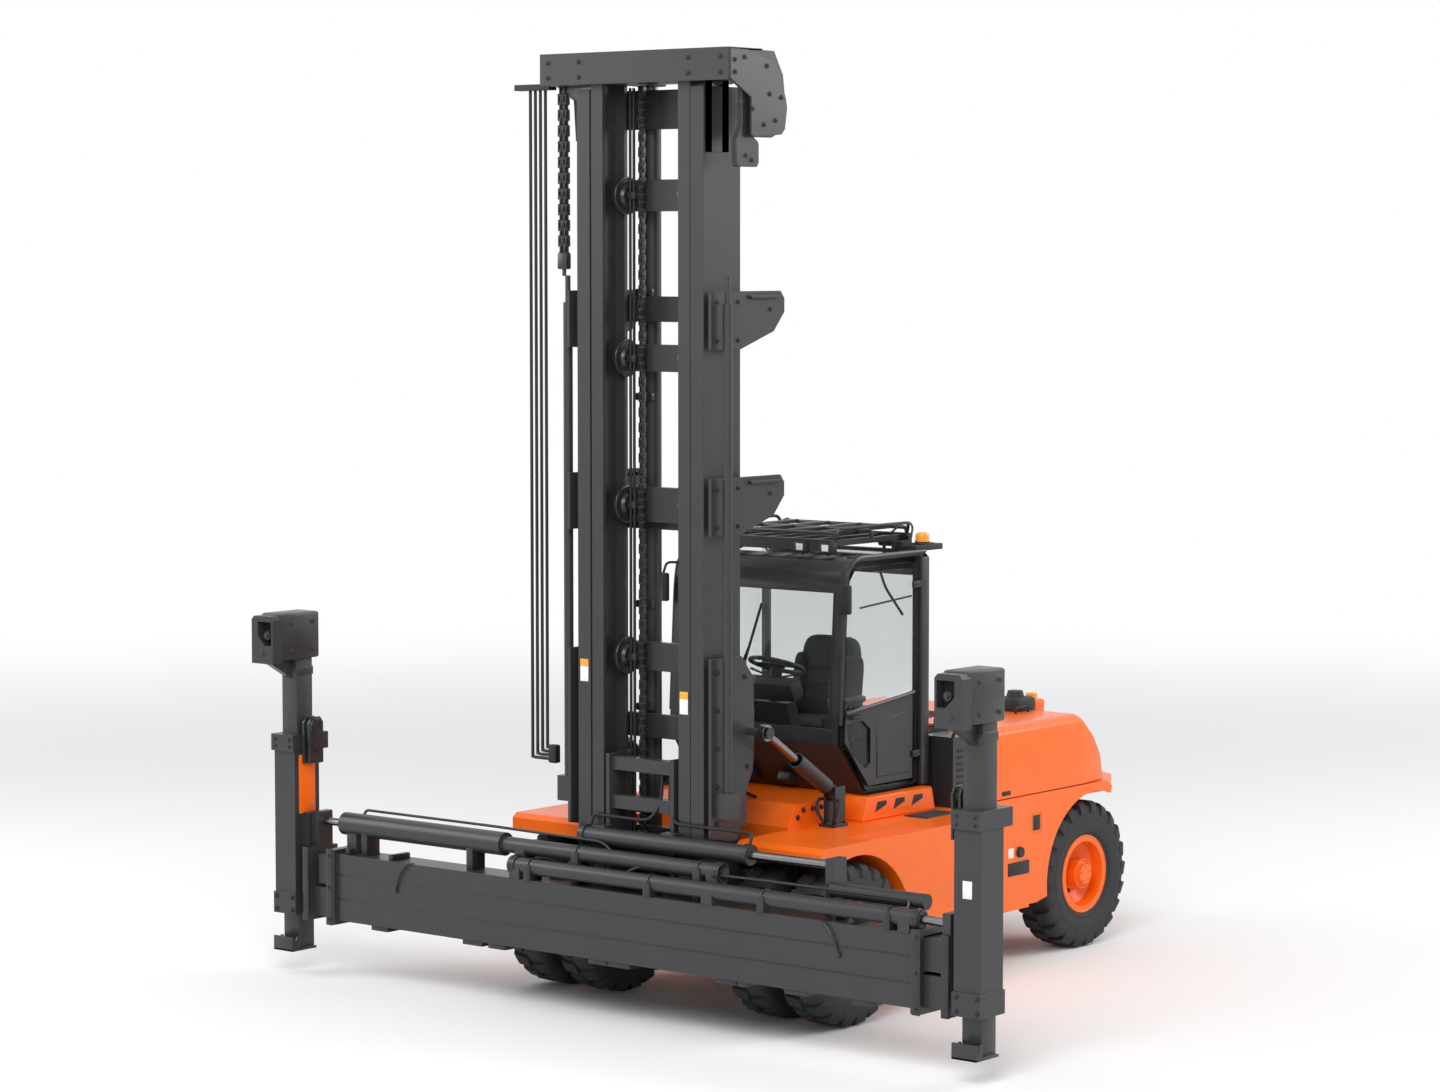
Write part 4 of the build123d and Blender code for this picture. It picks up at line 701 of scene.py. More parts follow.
door = bmesh.new()
addFrame(door, atX(cabLook["doorX"], cabLook["door"]), 0.042, (-0.042, 0, 0))
addHoledPanel(door, atX(cabLook["skinX"], cabLook["skirt"]), atX(cabLook["skinX"], cabLook["lowerPane"]),
              (-0.028, 0, 0))
addPanel(door, atX(cabLook["skinX"], [(2.26, 1.50), (2.64, 1.50), (2.64, 1.93), (2.26, 1.885)]),
         (0.006, 0, 0), 0.004)
addPipe(door, [(0.742, 1.90, 1.97), (0.752, 2.00, 1.985), (0.752, 2.60, 2.045), (0.742, 2.68, 2.055)],
        0.014, 0.05)
for up in cabLook["hinges"]:
    x, back = cabLook["hingeX"], cabLook["hingeAft"]
    addRod(door, (x, back, up), (x, back, up + 0.045), 0.012)
    addBox(door, (x - 0.018, 2.66, up), (x + 0.002, back, up + 0.045), 0.004)
    for boltAft in (2.675, 2.70):
        addBolt(door, (x + 0.002, boltAft, up + 0.022), (1, 0, 0), 0.006)
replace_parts(finishPiece("doorShell", door, "door", "black_metal", 40), "cab_door")
doorPanes = bmesh.new()
addPanel(doorPanes, atX(0.722, cabLook["upperPane"]), (glass, 0, 0))
addPanel(doorPanes, atX(0.718, cabLook["lowerPane"]), (glass, 0, 0))
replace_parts(finishPiece("doorPanes", doorPanes, "door", "window_glass"), "door_glass")
doorTrim = bmesh.new()
addFrame(doorTrim, atX(0.7375, cabLook["lowerPane"]), 0.012, (-0.012, 0, 0))
addPipe(doorTrim, [(0.735, 2.069, 2.680), (0.735, 2.656, 2.723)], 0.007)
addPipe(doorTrim, [(0.732, 2.30, 2.915), (0.732, 2.36, 2.80), (0.732, 2.56, 2.60)], 0.009, 0.05)
addBox(doorTrim, (0.735, 1.95, 1.925), (0.772, 2.06, 1.950), 0.008)
finishPiece("doorTrim", doorTrim, "door", "black_plastic")

# Wiper, mirrors, lamps, rack and beacon
wipers = bmesh.new()
addBox(wipers, (-0.28, 1.775, 1.80), (-0.10, 1.815, 1.85), 0.012)
addRod(wipers, (-0.19, 1.775, 1.84), (-0.19, 1.812, 1.84), 0.018)
addPipe(wipers, [(-0.19, 1.785, 1.84), (-0.12, screenAft(2.2) - 0.035, 2.2),
                 (-0.03, screenAft(2.42) - 0.022, 2.42)], 0.006)
addPipe(wipers, [(-0.13, screenAft(2.12) - 0.014, 2.12), (0.05, screenAft(2.69) - 0.014, 2.69)], 0.010)
finishPiece("wipers", wipers, "truck", "black_plastic")

mirrors = bmesh.new()
lampShells = bmesh.new()
lampLenses = bmesh.new()
for hand in (1, -1):
    addPipe(mirrors, [(hand * 0.70, 1.93, 2.93), (hand * 0.79, 1.84, 2.93), (hand * 0.80, 1.81, 2.84)],
            0.009, 0.03)
    addSlab(mirrors, hand * 0.80, 0.055, (1.79, 2.66), (1.825, 2.86), 0.014)
    for spot in (0.30, 0.52):
        addSlab(lampShells, hand * spot, 0.06, (1.955, 3.045), (2.02, 3.125), 0.014)
        addRod(lampShells, (hand * spot, 1.99, 3.028), (hand * spot, 1.99, 3.05), 0.012)
        addSlab(lampLenses, hand * spot, 0.028, (1.950, 3.062), (1.957, 3.108), 0.003)
    addSlab(lampShells, hand * 0.40, 0.06, (2.79, 3.045), (2.845, 3.120), 0.014)
    addRod(lampShells, (hand * 0.40, 2.79, 3.02), (hand * 0.40, 2.79, 3.06), 0.012)
    addSlab(lampLenses, hand * 0.40, 0.05, (2.843, 3.053), (2.850, 3.112), 0.003)
    for z in (1.00, 1.10):  # tail lamps on the counterweight
        addSlab(lampShells, hand * 0.50, 0.055, (5.235, z + 0.055), (5.2495, z + 0.115), 0.006)
finishPiece("mirrors", mirrors, "truck", "black_plastic")
finishPiece("lampShells", lampShells, "truck", "black_plastic")
finishPiece("lampLenses", lampLenses, "truck", "lamp_glass")

rack = bmesh.new()
for x in (-0.42, -0.14, 0.14, 0.42):
    addSlab(rack, x, 0.014, (2.02, 3.168), (2.86, 3.196), 0.004)
for back in (2.03, 2.44, 2.85):
    addPipe(rack, [(-0.55, back, 3.12), (-0.55, back, 3.18), (0.55, back, 3.18), (0.55, back, 3.12)], 0.014,
            0.04)
for hand in (1, -1):
    addPipe(rack, [(hand * 0.55, 2.03, 3.13), (hand * 0.58, 2.03, 3.215), (hand * 0.58, 2.84, 3.215),
                   (hand * 0.55, 2.85, 3.13)], 0.012, 0.05)
    for back in (2.075, 2.76):
        for step in (-0.02, 0.02):
            addBolt(rack, (hand * 0.562, back, 3.06 + step), (hand, 0, 0), 0.007)
addPipe(rack, [(0.45, 2.78, 3.13), (0.50, 2.90, 3.22), (0.60, 2.86, 3.20), (0.66, 2.74, 3.07)], 0.008)
addPipe(rack, [(-0.45, 2.78, 3.13), (-0.52, 2.90, 3.21), (-0.62, 2.84, 3.14), (-0.70, 2.78, 3.0)], 0.008)
finishPiece("roofRack", rack, "truck", "black_metal")

beacon = bmesh.new()
domeProfile = [(0, 0.0), (0.052, 0.0), (0.052, 0.006), (0.047, 0.012), (0.047, 0.052), (0.040, 0.062),
               (0.02, 0.068), (0, 0.069)]
dome = [beacon.verts.new((0.69 + r, 2.8455, 3.086 + z)) for r, z in domeProfile]
ring = [beacon.edges.new(pair) for pair in zip(dome, dome[1:])]
bmesh.ops.spin(beacon, geom=dome + ring, cent=(0.69, 2.8455, 3.1), axis=(0, 0, 1), steps=40, angle=math.tau,
               use_merge=True)
bmesh.ops.remove_doubles(beacon, verts=beacon.verts, dist=0.0001)
for step in range(3):
    addHoop(beacon, (0.69, 2.8455, 3.102 + 0.014 * step), 0.0475, 0.003, (0, 0, 1), 40)
beacon = finishPiece("beaconDome", beacon, "truck", "amber_lens")
foot = bmesh.new()
addBox(foot, (0.645, 2.773, 3.070), (0.735, 2.918, 3.080), 0.003)
addRod(foot, (0.69, 2.8455, 3.070), (0.69, 2.8455, 3.090), 0.056, 32, 0.052)
for shift in (-0.052, 0.052):
    addBolt(foot, (0.69, 2.8455 + shift * 1.2, 3.080), (0, 0, 1), 0.006)
addBox(foot, (0.645, 2.701, 3.028), (0.745, 3.015, 3.070), 0.006)
addBox(foot, (0.50, 2.75, 3.028), (0.66, 2.82, 3.062), 0.006)
foot = finishPiece("beaconFoot", foot, "truck", "black_plastic")
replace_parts(beacon, "beacon")
print("cab fittings ready")

# Hood: a low rounded shell with sloped shoulders, its seams, latch, intake and lamp
hood = bmesh.new()
hoodLook = {
    "foot": 1.232,
    "sideX": 0.95,
    "topX": 0.88,
    "shoulder": 0.04,
    "soft": 0.022,
    "skin": 0.02,
    "rows": [(3.345, 1.742, 0), (4.50, 1.742, 0.01), (4.68, 1.60, 0.03), (4.80, 1.455, 0.05),
             (4.845, 1.235, 0.06)],
}  # a row is its distance aft, height and how far it is drawn in
rows = []
for back, up, narrow in hoodLook["rows"]:
    foot = hoodLook["foot"]
    edge = max(foot + 0.003, up - hoodLook["shoulder"])
    half = [(hoodLook["sideX"], foot), (hoodLook["sideX"], edge), (hoodLook["topX"], up)]
    ends = [(narrow - x, z) for x, z in half] + [(x - narrow, z) for x, z in reversed(half)]
    rows.append([hood.verts.new((x, back, z)) for x, z in ends])
for near, far in zip(rows, rows[1:]):
    for step in range(len(near) - 1):
        hood.faces.new((near[step], near[step + 1], far[step + 1], far[step]))
bmesh.ops.recalc_face_normals(hood, faces=hood.faces)
outer = [edge for edge in hood.edges if len(edge.link_faces) == 2]
bmesh.ops.bevel(hood, geom=outer, offset=hoodLook["soft"], segments=3, profile=0.5, affect="EDGES",
                material=-1)
bmesh.ops.solidify(hood, geom=hood.faces, thickness=hoodLook["skin"])
for hand in (1, -1):
    addPin(hood, hand * 0.52, hand * 0.565, 3.335, 1.770, 0.016, 20)
    addSlab(hood, hand * 0.5425, 0.0225, (3.34, 1.735), (3.40, 1.775), 0.005)
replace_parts(finishPiece("hoodShell", hood, "hood", "orange_paint", 50), "hood")
trim = bmesh.new()
for hand in (1, -1):
    addSlab(trim, hand * 0.951, 0.004, (3.46, 1.255), (3.56, 1.285), 0.003)
    grip = [(4.20, 1.742), (4.20, 1.785), (4.36, 1.785), (4.36, 1.742)]
    addPipe(trim, atX(hand * 0.55, grip), 0.008, 0.03)
addBox(trim, (0.29, 4.29, 1.70), (0.51, 4.53, 1.84), 0.03)
addRod(trim, (0.40, 4.41, 1.83), (0.40, 4.41, 1.885), 0.07, 32, 0.055)
for step in range(6):
    addBox(trim, (-0.42, 3.62 + 0.06 * step, 1.740), (0.20, 3.645 + 0.06 * step, 1.747), 0.003)
finishPiece("hoodTrim", trim, "hood", "black_plastic")
holder = bmesh.new()
addBox(holder, (0.33, 4.545, 1.66), (0.47, 4.70, 1.805), 0.02)
finishPiece("lampHolder", holder, "hood", "orange_paint")
lamp = bmesh.new()
addRod(lamp, (0.40, 4.62, 1.80), (0.40, 4.62, 1.852), 0.045, 32, 0.038)
for step in range(3):
    addHoop(lamp, (0.40, 4.62, 1.812 + 0.013 * step), 0.043, 0.003, (0, 0, 1), 40)
finishPiece("hoodLamp", lamp, "hood", "amber_lens")
print("hood ready")

# Orange bodies and deck: slot, cap, band, slotted sill, tread strips, mats, bolts and hose loops
deckLook = {  # pairs are (aft, height)
    "bodyX": 0.952,
    "slot": [(3.836, 0.951), (3.949, 0.951), (3.949, 1.086), (3.836, 1.086)],
    "sill": [(2.00, 1.222), (2.06, 1.388), (2.80, 1.388), (2.84, 1.222)],
    "sillX": (0.62, 0.20),
    "slitX": 0.816,
    "slits": (2.13, 2.34, 2.55),
    "ribs": 7,
    "ribPitch": 0.028,
    "cowlBolts": ((1.50, 1.30), (1.56, 1.345), (1.66, 1.345), (1.76, 1.345)),
    "bracketBolts": [(x, back) for back in (1.71, 1.80) for x in (0.70, 0.82)],
    "hoseLoops": ((0.80, 0.850, 0.820), (0.72, 0.670, 0.700)),
    "loopPath": ((1.683, 1.25), (1.658, 1.35), (1.698, 1.412), (1.738, 1.402)),
    "handrail": ((0.86, 2.98, 1.72), (0.90, 2.98, 1.78), (0.90, 3.26, 1.78), (0.86, 3.26, 1.72)),
    "louvres": 7,
    "louvrePitch": 0.045,
    "tow": (0, 5.20),
}
deck = bmesh.new()
sills = bmesh.new()
plates = bmesh.new()
fittings = bmesh.new()
for hand in (1, -1):
    addFrame(deck, atX(hand * deckLook["bodyX"], deckLook["slot"]), 0.012, (hand * -0.01, 0, 0))
    addBox(deck, (hand * 0.944 - 0.006, 3.848, 0.963), (hand * 0.944 + 0.007, 3.937, 1.074), 0.002)
    addSlab(deck, hand * 0.950, 0.012, (3.524, 0.669), (3.79, 0.764), 0.006)
    addPin(deck, hand * 0.94, hand * 0.975, 3.673, 0.832, 0.042, 32, 0.036)
    start, reach = deckLook["sillX"]
    addPanel(sills, atX(hand * start, deckLook["sill"]), (hand * reach, 0, 0), 0.012)
    for back in deckLook["slits"]:
        slit = [(back, 1.28), (back + 0.03, 1.35), (back + 0.13, 1.35), (back + 0.13, 1.32)]
        addPanel(deck, atX(hand * deckLook["slitX"], slit), (hand * 0.006, 0, 0))
    for row in range(deckLook["ribs"]):  # ribs on the fender, and on the dark mat behind them
        ribX = hand * (1.15 + deckLook["ribPitch"] * row)
        addSlab(sills, ribX, 0.004, (1.40, 1.223), (2.07, 1.2295))
        matX = hand * (0.87 + deckLook["ribPitch"] * row)
        addSlab(deck, matX, 0.005, (2.42, 1.226), (2.76, 1.234))
    addSlab(deck, hand * 0.955, 0.10, (2.41, 1.2235), (2.77, 1.2285), 0.001)
    for back, up in deckLook["cowlBolts"]:
        addBolt(fittings, (hand * 0.642, back, up), (hand, 0, 0), 0.013)
    for x, back in deckLook["bracketBolts"]:
        addBolt(fittings, (hand * x, back, 1.243), (0, 0, 1), 0.010)
    for foot, bow, union in deckLook["hoseLoops"]:  # beside the cheeks of the tilt bracket
        loop = [(hand * x, *place) for x, place in zip((foot, bow, bow, union), deckLook["loopPath"])]
        addPipe(deck, loop, 0.011, 0.04)
    addSlab(plates, hand * 0.954, 0.0035, (3.53, 0.80), (3.60, 0.87), 0.001)
    addPipe(deck, [(hand * x, back, up) for x, back, up in deckLook["handrail"]], 0.012, 0.04)
for step in range(deckLook["louvres"]):  # in the cover behind the cab
    rise = deckLook["louvrePitch"] * step
    addBox(deck, (-0.62, 2.97 + rise, 1.716), (0.62, 2.99 + rise, 1.727), 0.003)
    for hand in (1, -1):
        addBox(deck, (hand * 0.898 - 0.004, 2.98, 1.34 + rise), (hand * 0.898 + 0.008, 3.27, 1.36 + rise),
               0.003)
towX, towAft = deckLook["tow"]
addRod(deck, (towX, towAft, 1.215), (towX, towAft, 1.262), 0.030, 24, 0.026)
addHoop(deck, (towX, towAft, 1.278), 0.026, 0.006, (1, 0, 0), 32)
finishPiece("deckFittings", deck, "truck", "black_plastic")
finishPiece("deckSills", sills, "truck", "orange_paint")
finishPiece("deckBolts", fittings, "truck", "chain_steel")
finishPiece("bodyPlates", plates, "truck", "plate_white")
print("deck ready")

# Mast: plate bolts, discs with hoses between the uprights, chains and bare warning plates
mastLook = {  # pairs are (aft, height)
    "plateX": 0.626,
    "footBolts": [(0.66, up) for up in (1.35, 1.6, 1.85, 2.1, 2.35)] + [(0.95, 2.30), (0.98, 1.70),
                                                                        (0.86, 1.40)],
    "cheeks": (3.24, 4.46),
    "cheekBolts": ((0.66, 0.06), (0.66, 0.31), (0.88, 0.06), (0.88, 0.31), (1.22, 0.26)),
    "cheekCap": ((1.0, 0.33), (1.30, 0.33), (1.33, 0.352), (0.98, 0.352)),
    "barrelX": 0.29,
    "clips": (1.30, 2.0, 2.7, 3.4, 4.1, 4.8, 5.5),
    "barrelRings": (0.9, 1.9),
    "discAft": 0.84,
    "discs": (1.148, 2.39, 3.41, 4.39, 5.47),
    "lineXs": (0.20, 0.232),
}
outerBits = bmesh.new()
innerBits = bmesh.new()
chains = bmesh.new()
lines = bmesh.new()
for hand in (1, -1):
    for back, up in mastLook["footBolts"]:
        addBolt(outerBits, (hand * mastLook["plateX"], back, up), (hand, 0, 0), 0.014)
    for foot in mastLook["cheeks"]:
        for back, up in mastLook["cheekBolts"]:
            addBolt(outerBits, (hand * mastLook["plateX"], back, foot + up), (hand, 0, 0), 0.012)
        cap = [(back, foot + up) for back, up in mastLook["cheekCap"]]
        addPanel(outerBits, atX(hand * 0.60, cap), (hand * 0.05, 0, 0), 0.003)
    addPin(outerBits, hand * 0.80, hand * 0.808, 0.996, 1.931, 0.040, 28)
    barrelX = hand * mastLook["barrelX"]
    for up in mastLook["clips"]:
        addSlab(outerBits, barrelX, 0.07, (1.0, up), (1.035, up + 0.05), 0.006)
        addBolt(outerBits, (hand * 0.355, 1.03, up + 0.025), (0, 1, 0), 0.009)
    for up in mastLook["barrelRings"]:
        addHoop(outerBits, (barrelX, 1.095, up), 0.064, 0.006, (0, 0, 1), 40)
    discAft = mastLook["discAft"]
    for up in mastLook["discs"]:  # they lead the hoses down the inner mast
        addPin(innerBits, hand * 0.318, hand * 0.290, discAft, up, 0.125, 44)
        addPin(innerBits, hand * 0.292, hand * 0.270, discAft, up, 0.075, 36, 0.06)
        addHoop(innerBits, (hand * 0.296, discAft, up), 0.118, 0.010, steps=44)
        for place in ringPlaces((hand * 0.274, discAft, up), 0.045, 6):
            addBolt(innerBits, place, (-hand, 0, 0), 0.007)
        addBox(innerBits, (hand * 0.325 - 0.03, 0.875, up - 0.06), (hand * 0.325 + 0.02, 0.90, up + 0.06),
               0.004)
    for x in mastLook["lineXs"]:
        addPipe(lines, [(hand * x, 0.80, 6.18), (hand * x, 0.80, 1.20)], 0.010)
    for up in mastLook["discs"][1:]:
        addSlab(innerBits, hand * 0.216, 0.035, (0.785, up - 0.025), (0.885, up + 0.025), 0.006)
chainLook = {"x": -0.160, "aft": 0.835, "top": 6.19, "foot": 1.21, "pitch": 0.0508, "pin": 0.024}
chainX, chainAft, pitch = chainLook["x"], chainLook["aft"], chainLook["pitch"]
for number in range(int((chainLook["top"] - chainLook["foot"]) / pitch)):
    up = chainLook["foot"] + pitch * number
    for leaf in ((-0.016, 0, 0.016) if number % 2 else (-0.008, 0.008)):
        addSlab(chains, chainX + leaf, 0.003, (chainAft - 0.02, up - 0.008),
                (chainAft + 0.02, up + pitch + 0.008), 0.003)
    addPin(chains, chainX - chainLook["pin"], chainX + chainLook["pin"], chainAft, up, 0.008, 10)
addSlab(chains, chainX, 0.03, (0.80, 1.13), (0.90, 1.215), 0.006)
finishPiece("innerChain", chains, "inner_mast", "chain_steel")
finishPiece("mastBolts", outerBits, "outer_mast", "black_metal")
finishPiece("innerDiscs", innerBits, "inner_mast", "black_metal")
finishPiece("innerLines", lines, "inner_mast", "hose_black")

leafLook = {"strands": (-0.742, -0.702), "aft": 0.69, "foot": 5.09, "pitch": 0.0525, "links": 21}
leafAft = leafLook["aft"]
leafChain = bmesh.new()
for strand in leafLook["strands"]:
    for number in range(leafLook["links"]):
        up = leafLook["foot"] + leafLook["pitch"] * number
        for leaf in ((-0.013, 0.013) if number % 2 else (0.0,)):
            addSlab(leafChain, strand + leaf, 0.005, (leafAft - 0.022, up - 0.012),
                    (leafAft + 0.022, up + 0.065), 0.004)
        addPin(leafChain, strand - 0.021, strand + 0.021, leafAft, up, 0.009, 12)
addBox(leafChain, (-0.765, 0.665, 4.98), (-0.679, 0.715, leafLook["foot"]), 0.01)
addRod(leafChain, (-0.722, leafAft, 4.935), (-0.722, leafAft, 4.99), 0.014)
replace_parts(finishPiece("leafChain", leafChain, "inner_mast", "chain_steel"), "lift_chains")
lineEnds = bmesh.new()  # the four lines turn in to a clamp near the deck
lineLook = {"xs": (-1.030, -0.985, -0.940, -0.895), "aft": 0.70, "foot": 1.655, "pitch": 0.025, "endX": -0.83}
for number, lineX in enumerate(lineLook["xs"]):
    back, foot = lineLook["aft"], lineLook["foot"] + lineLook["pitch"] * number
    addPipe(lineEnds, [(lineX, back, foot + 0.07), (lineX, back, foot), (lineLook["endX"], back, foot)],
            0.0113, 0.025)
addBox(lineEnds, (-0.868, 0.672, 1.630), (-0.80, 0.728, 1.755), 0.01)
finishPiece("lineEnds", lineEnds, "inner_mast", "hose_black")

# Top beam: hooked arm and slotted housing on the left, cover plates, pulley pins and cylinder heads
topLook = {
    "armBox": (0.55, 0.596, 5.837, 0.57),  # aft, depth, foot, height; shares of it below
    "armShares": ((0, .65), (.36, .45), (.36, .02), (.42, 0), (.90, .04), (.96, .10), (1, .34), (.98, .45),
                  (.84, .78), (.76, .86), (.30, .985), (0, .99)),
    "fingerBox": (0.661, 0.237, 5.646, 0.554),
    "fingerShares": ((0.25, 1), (0.58, 1), (0.72, 0.42), (0.80, 0.34), (0.96, 0.3), (1, 0.26), (1, 0.05),
                     (0.92, 0), (0.08, 0), (0, 0.05), (0, 0.3), (0.26, 0.5)),
    "housing": [(0.566, 5.74), (0.739, 5.74), (0.739, 6.20), (0.566, 6.20)],
    "armBolts": ((0.60, 6.33), (0.60, 6.25), (0.70, 6.35), (0.78, 6.02), (0.93, 6.30), (0.96, 6.12),
                 (0.90, 5.92), (1.02, 5.95), (1.08, 6.10)),
    "pinZ": 6.35,
}


def inBox(box, shares):
    back, depth, foot, height = box
    return [(back + depth * a, foot + height * b) for a, b in shares]


topBits = bmesh.new()
addPanel(topBits, atX(0.811, inBox(topLook["armBox"], topLook["armShares"])), (0.014, 0, 0), 0.004)
addPanel(topBits, atX(0.745, inBox(topLook["fingerBox"], topLook["fingerShares"])), (0.04, 0, 0), 0.004)
addFrame(topBits, atX(0.66, topLook["housing"]), 0.045, (-0.055, 0, 0))
for back, up in topLook["armBolts"]:
    addBolt(topBits, (0.826, back, up), (1, 0, 0), 0.013)
for back, up in ((0.69, 6.06), (0.76, 5.72), (0.82, 5.69)):
    addBolt(topBits, (0.786, back, up), (1, 0, 0), 0.012)
for startX, endX in ((-0.607, -0.166), (-0.134, 0.60), (0.612, 0.81)):
    addBox(topBits, (startX, 0.553, 6.392), (endX, 0.897, 6.4095), 0.004)
addBox(topBits, (-0.812, 0.5505, 6.205), (-0.79, 0.56, 6.40), 0.003)
for hand in (1, -1):
    up = topLook["pinZ"]
    addPin(topBits, hand * 0.665, hand * 0.735, 1.103, up, 0.042, 32)
    addRod(topBits, (hand * 0.70, 0.89, up), (hand * 0.70, 1.10, up), 0.016)
    addPin(topBits, hand * 0.655, hand * 0.745, 1.103, up, 0.018, 16)
    addSlab(topBits, hand * 0.29, 0.07, (0.89, 6.20), (1.165, 6.262), 0.01)
    addRod(topBits, (hand * 0.29, 1.095, 6.255), (hand * 0.29, 1.095, 6.285), 0.032, 6)
    for x in (0.47, 0.74):
        for drop in (0, 0.1):
            addBolt(topBits, (hand * x, 0.549, topLook["pinZ"] - drop), (0, -1, 0), 0.012)
finishPiece("topBeamFittings", topBits, "inner_mast", "black_metal")

# Bare warning plates on the uprights, each with its amber band
warning = bmesh.new()
amber = bmesh.new()
for x, front, up in ((-0.49, 0.6175, 2.22), (0.375, 0.6195, 2.06)):
    addSlab(warning, x, 0.035, (front, up), (front + 0.003, up + 0.10), 0.0008)
    addSlab(amber, x, 0.035, (front, up + 0.10), (front + 0.003, up + 0.15), 0.0008)
finishPiece("mastPlates", warning, "outer_mast", "plate_white")
finishPiece("mastPlateBands", amber, "outer_mast", "amber_lens")
print("mast ready")

# Hoses that hang from the mast's cross member to the deck
hoseLook = {"radius": 0.013, "across": (-0.19, -0.14, -0.06, 0.02, 0.10, 0.17), "swing": 0.02}
for number, x in enumerate(hoseLook["across"]):
    strand = bpy.data.curves.new("mastHose%d" % number, "CURVE")
    strand.dimensions = "3D"
    run = strand.splines.new("NURBS")
    swing = hoseLook["swing"] * (number % 3)
    knots = [(x, 1.003, 1.90), (x, 1.10 + swing, 1.90), (x + 0.02, 1.20 + swing, 1.82),
             (x + 0.04, 1.26 + swing, 1.66), (x + 0.06, 1.31 + swing, 1.53), (x + 0.06, 1.38 + swing, 1.44),
             (x + 0.06, 1.52 + swing, 1.398)]
    run.points.add(len(knots) - 1)
    for point, place in zip(run.points, knots):
        point.co = (place[0], place[1] - aftShift, place[2], 1)
    run.order_u = 3
    run.use_endpoint_u = True
    run.resolution_u = 16
    hose = bpy.data.objects.new("mastHose%d" % number, strand)
    bpy.context.scene.collection.objects.link(hose)
    bare = bpy.data.meshes.new_from_object(hose)
    ends = [[bare.vertices[number].co for number in edge.vertices] for edge in bare.edges]
    bpy.data.meshes.remove(bare)
    strand.bevel_depth = hoseLook["radius"]
    strand.bevel_resolution = 3
    strand.use_fill_caps = True
    strand.materials.append(materials["hose_black"])
    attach(hose, "truck")
print("hoses ready")

# Spreader: seams, collars, caps, glands, loops of cable and sliding pads
spreaderLook = {  # pairs of places are (aft, height)
    "reachLines": {1: (0.325, 0.975), -1: (0.412, 1.088)},
    "collars": (-0.88, 2.48),
    "saddles": (-0.70, 0.35, 1.30, 2.30),
    "hose": ((2.40, 0.03, 0.045), (2.40, 0.06, 0.10), (1.2, 0.06, 0.10), (0.2, 0.05, 0.09),
             (0.1, 0.03, 0.04)),
    "cable": ((1.77, 0.30, 0.888), (1.80, 0.262, 0.895), (1.882, 0.262, 0.81), (1.925, 0.272, 0.69)),
    "capX": 2.545,
    "capBolts": (0.43, 0.655, 0.88),
    "slidePads": (2.0, 2.42),
    "underPads": (0.1, 1.0, 2.1),
    "shiftLine": (0.535, 1.20),
    "shiftCollars": (-0.43, 0.97),
    "shortLine": (0.43, 1.066),
    "shiftHoses": ((-0.40, 0.1, 0.15), (0.97, 0.30, 0.22)),  # X at the barrel, at the bend and at the top
}
spreader = bmesh.new()
for up in (0.572, 0.742):
    addBox(spreader, (-2.49, 0.2765, up), (2.49, 0.281, up + 0.008), 0.001)
for hand in (1, -1):
    capX = hand * spreaderLook["capX"]
    addSlab(spreader, capX, 0.032, (0.245, 0.385), (0.252, 0.925), 0.003)
    for up in spreaderLook["capBolts"]:
        addBolt(spreader, (capX, 0.246, up), (0, -1, 0), 0.014)
    back, up = spreaderLook["reachLines"][hand]
    for x in spreaderLook["collars"]:
        addPin(spreader, hand * x, hand * (x + 0.055), back, up, 0.063, 36)
        addHoop(spreader, (hand * (x + 0.028), back, up), 0.063, 0.006, steps=40)
    addPin(spreader, hand * -0.905, hand * -0.88, back, up, 0.035, 6)
    for x in spreaderLook["saddles"]:
        addSlab(spreader, hand * x, 0.03, (back - 0.065, 0.889), (back + 0.065, up + 0.02), 0.006)
        addHoop(spreader, (hand * x, back, up), 0.058, 0.007, steps=36)
    addPipe(spreader, [(hand * x, back + behind, up + over) for x, behind, over in spreaderLook["hose"]],
            0.010)
    addPipe(spreader, [(hand * x, behind, over) for x, behind, over in spreaderLook["cable"]], 0.007)
    addRod(spreader, (hand * 1.925, 0.262, 0.69), (hand * 1.925, 0.282, 0.69), 0.016, 16)
    for x in spreaderLook["slidePads"]:
        addSlab(spreader, hand * x, 0.02, (0.30, 0.888), (0.48, 0.93), 0.006)
    for x in spreaderLook["underPads"]:
        addSlab(spreader, hand * x, 0.08, (0.29, 0.385), (0.50, 0.421), 0.006)
back, up = spreaderLook["shiftLine"]
for x in spreaderLook["shiftCollars"]:
    addPin(spreader, x, x + 0.045, back, up, 0.070, 36)
back, up = spreaderLook["shortLine"]
addPin(spreader, 1.76, 2.50, back, up, 0.050, 32)
addPin(spreader, 1.74, 1.76, back, up, 0.030, 6)
for x in (1.84, 2.40):
    addSlab(spreader, x, 0.035, (0.395, 0.889), (0.465, 1.05), 0.006)
shiftBits = bmesh.new()
for startX, bendX, topX in spreaderLook["shiftHoses"]:
    addPipe(shiftBits, [(startX, 0.575, 1.26), (startX, 0.60, 1.33), (bendX, 0.60, 1.33), (topX, 0.66, 1.45),
                        (topX, 0.67, 1.65)], 0.011)
finishPiece("shiftLines", shiftBits, "carriage", "hose_black")
finishPiece("spreaderFittings", spreader, "spreader", "black_metal")
print("spreader ready")

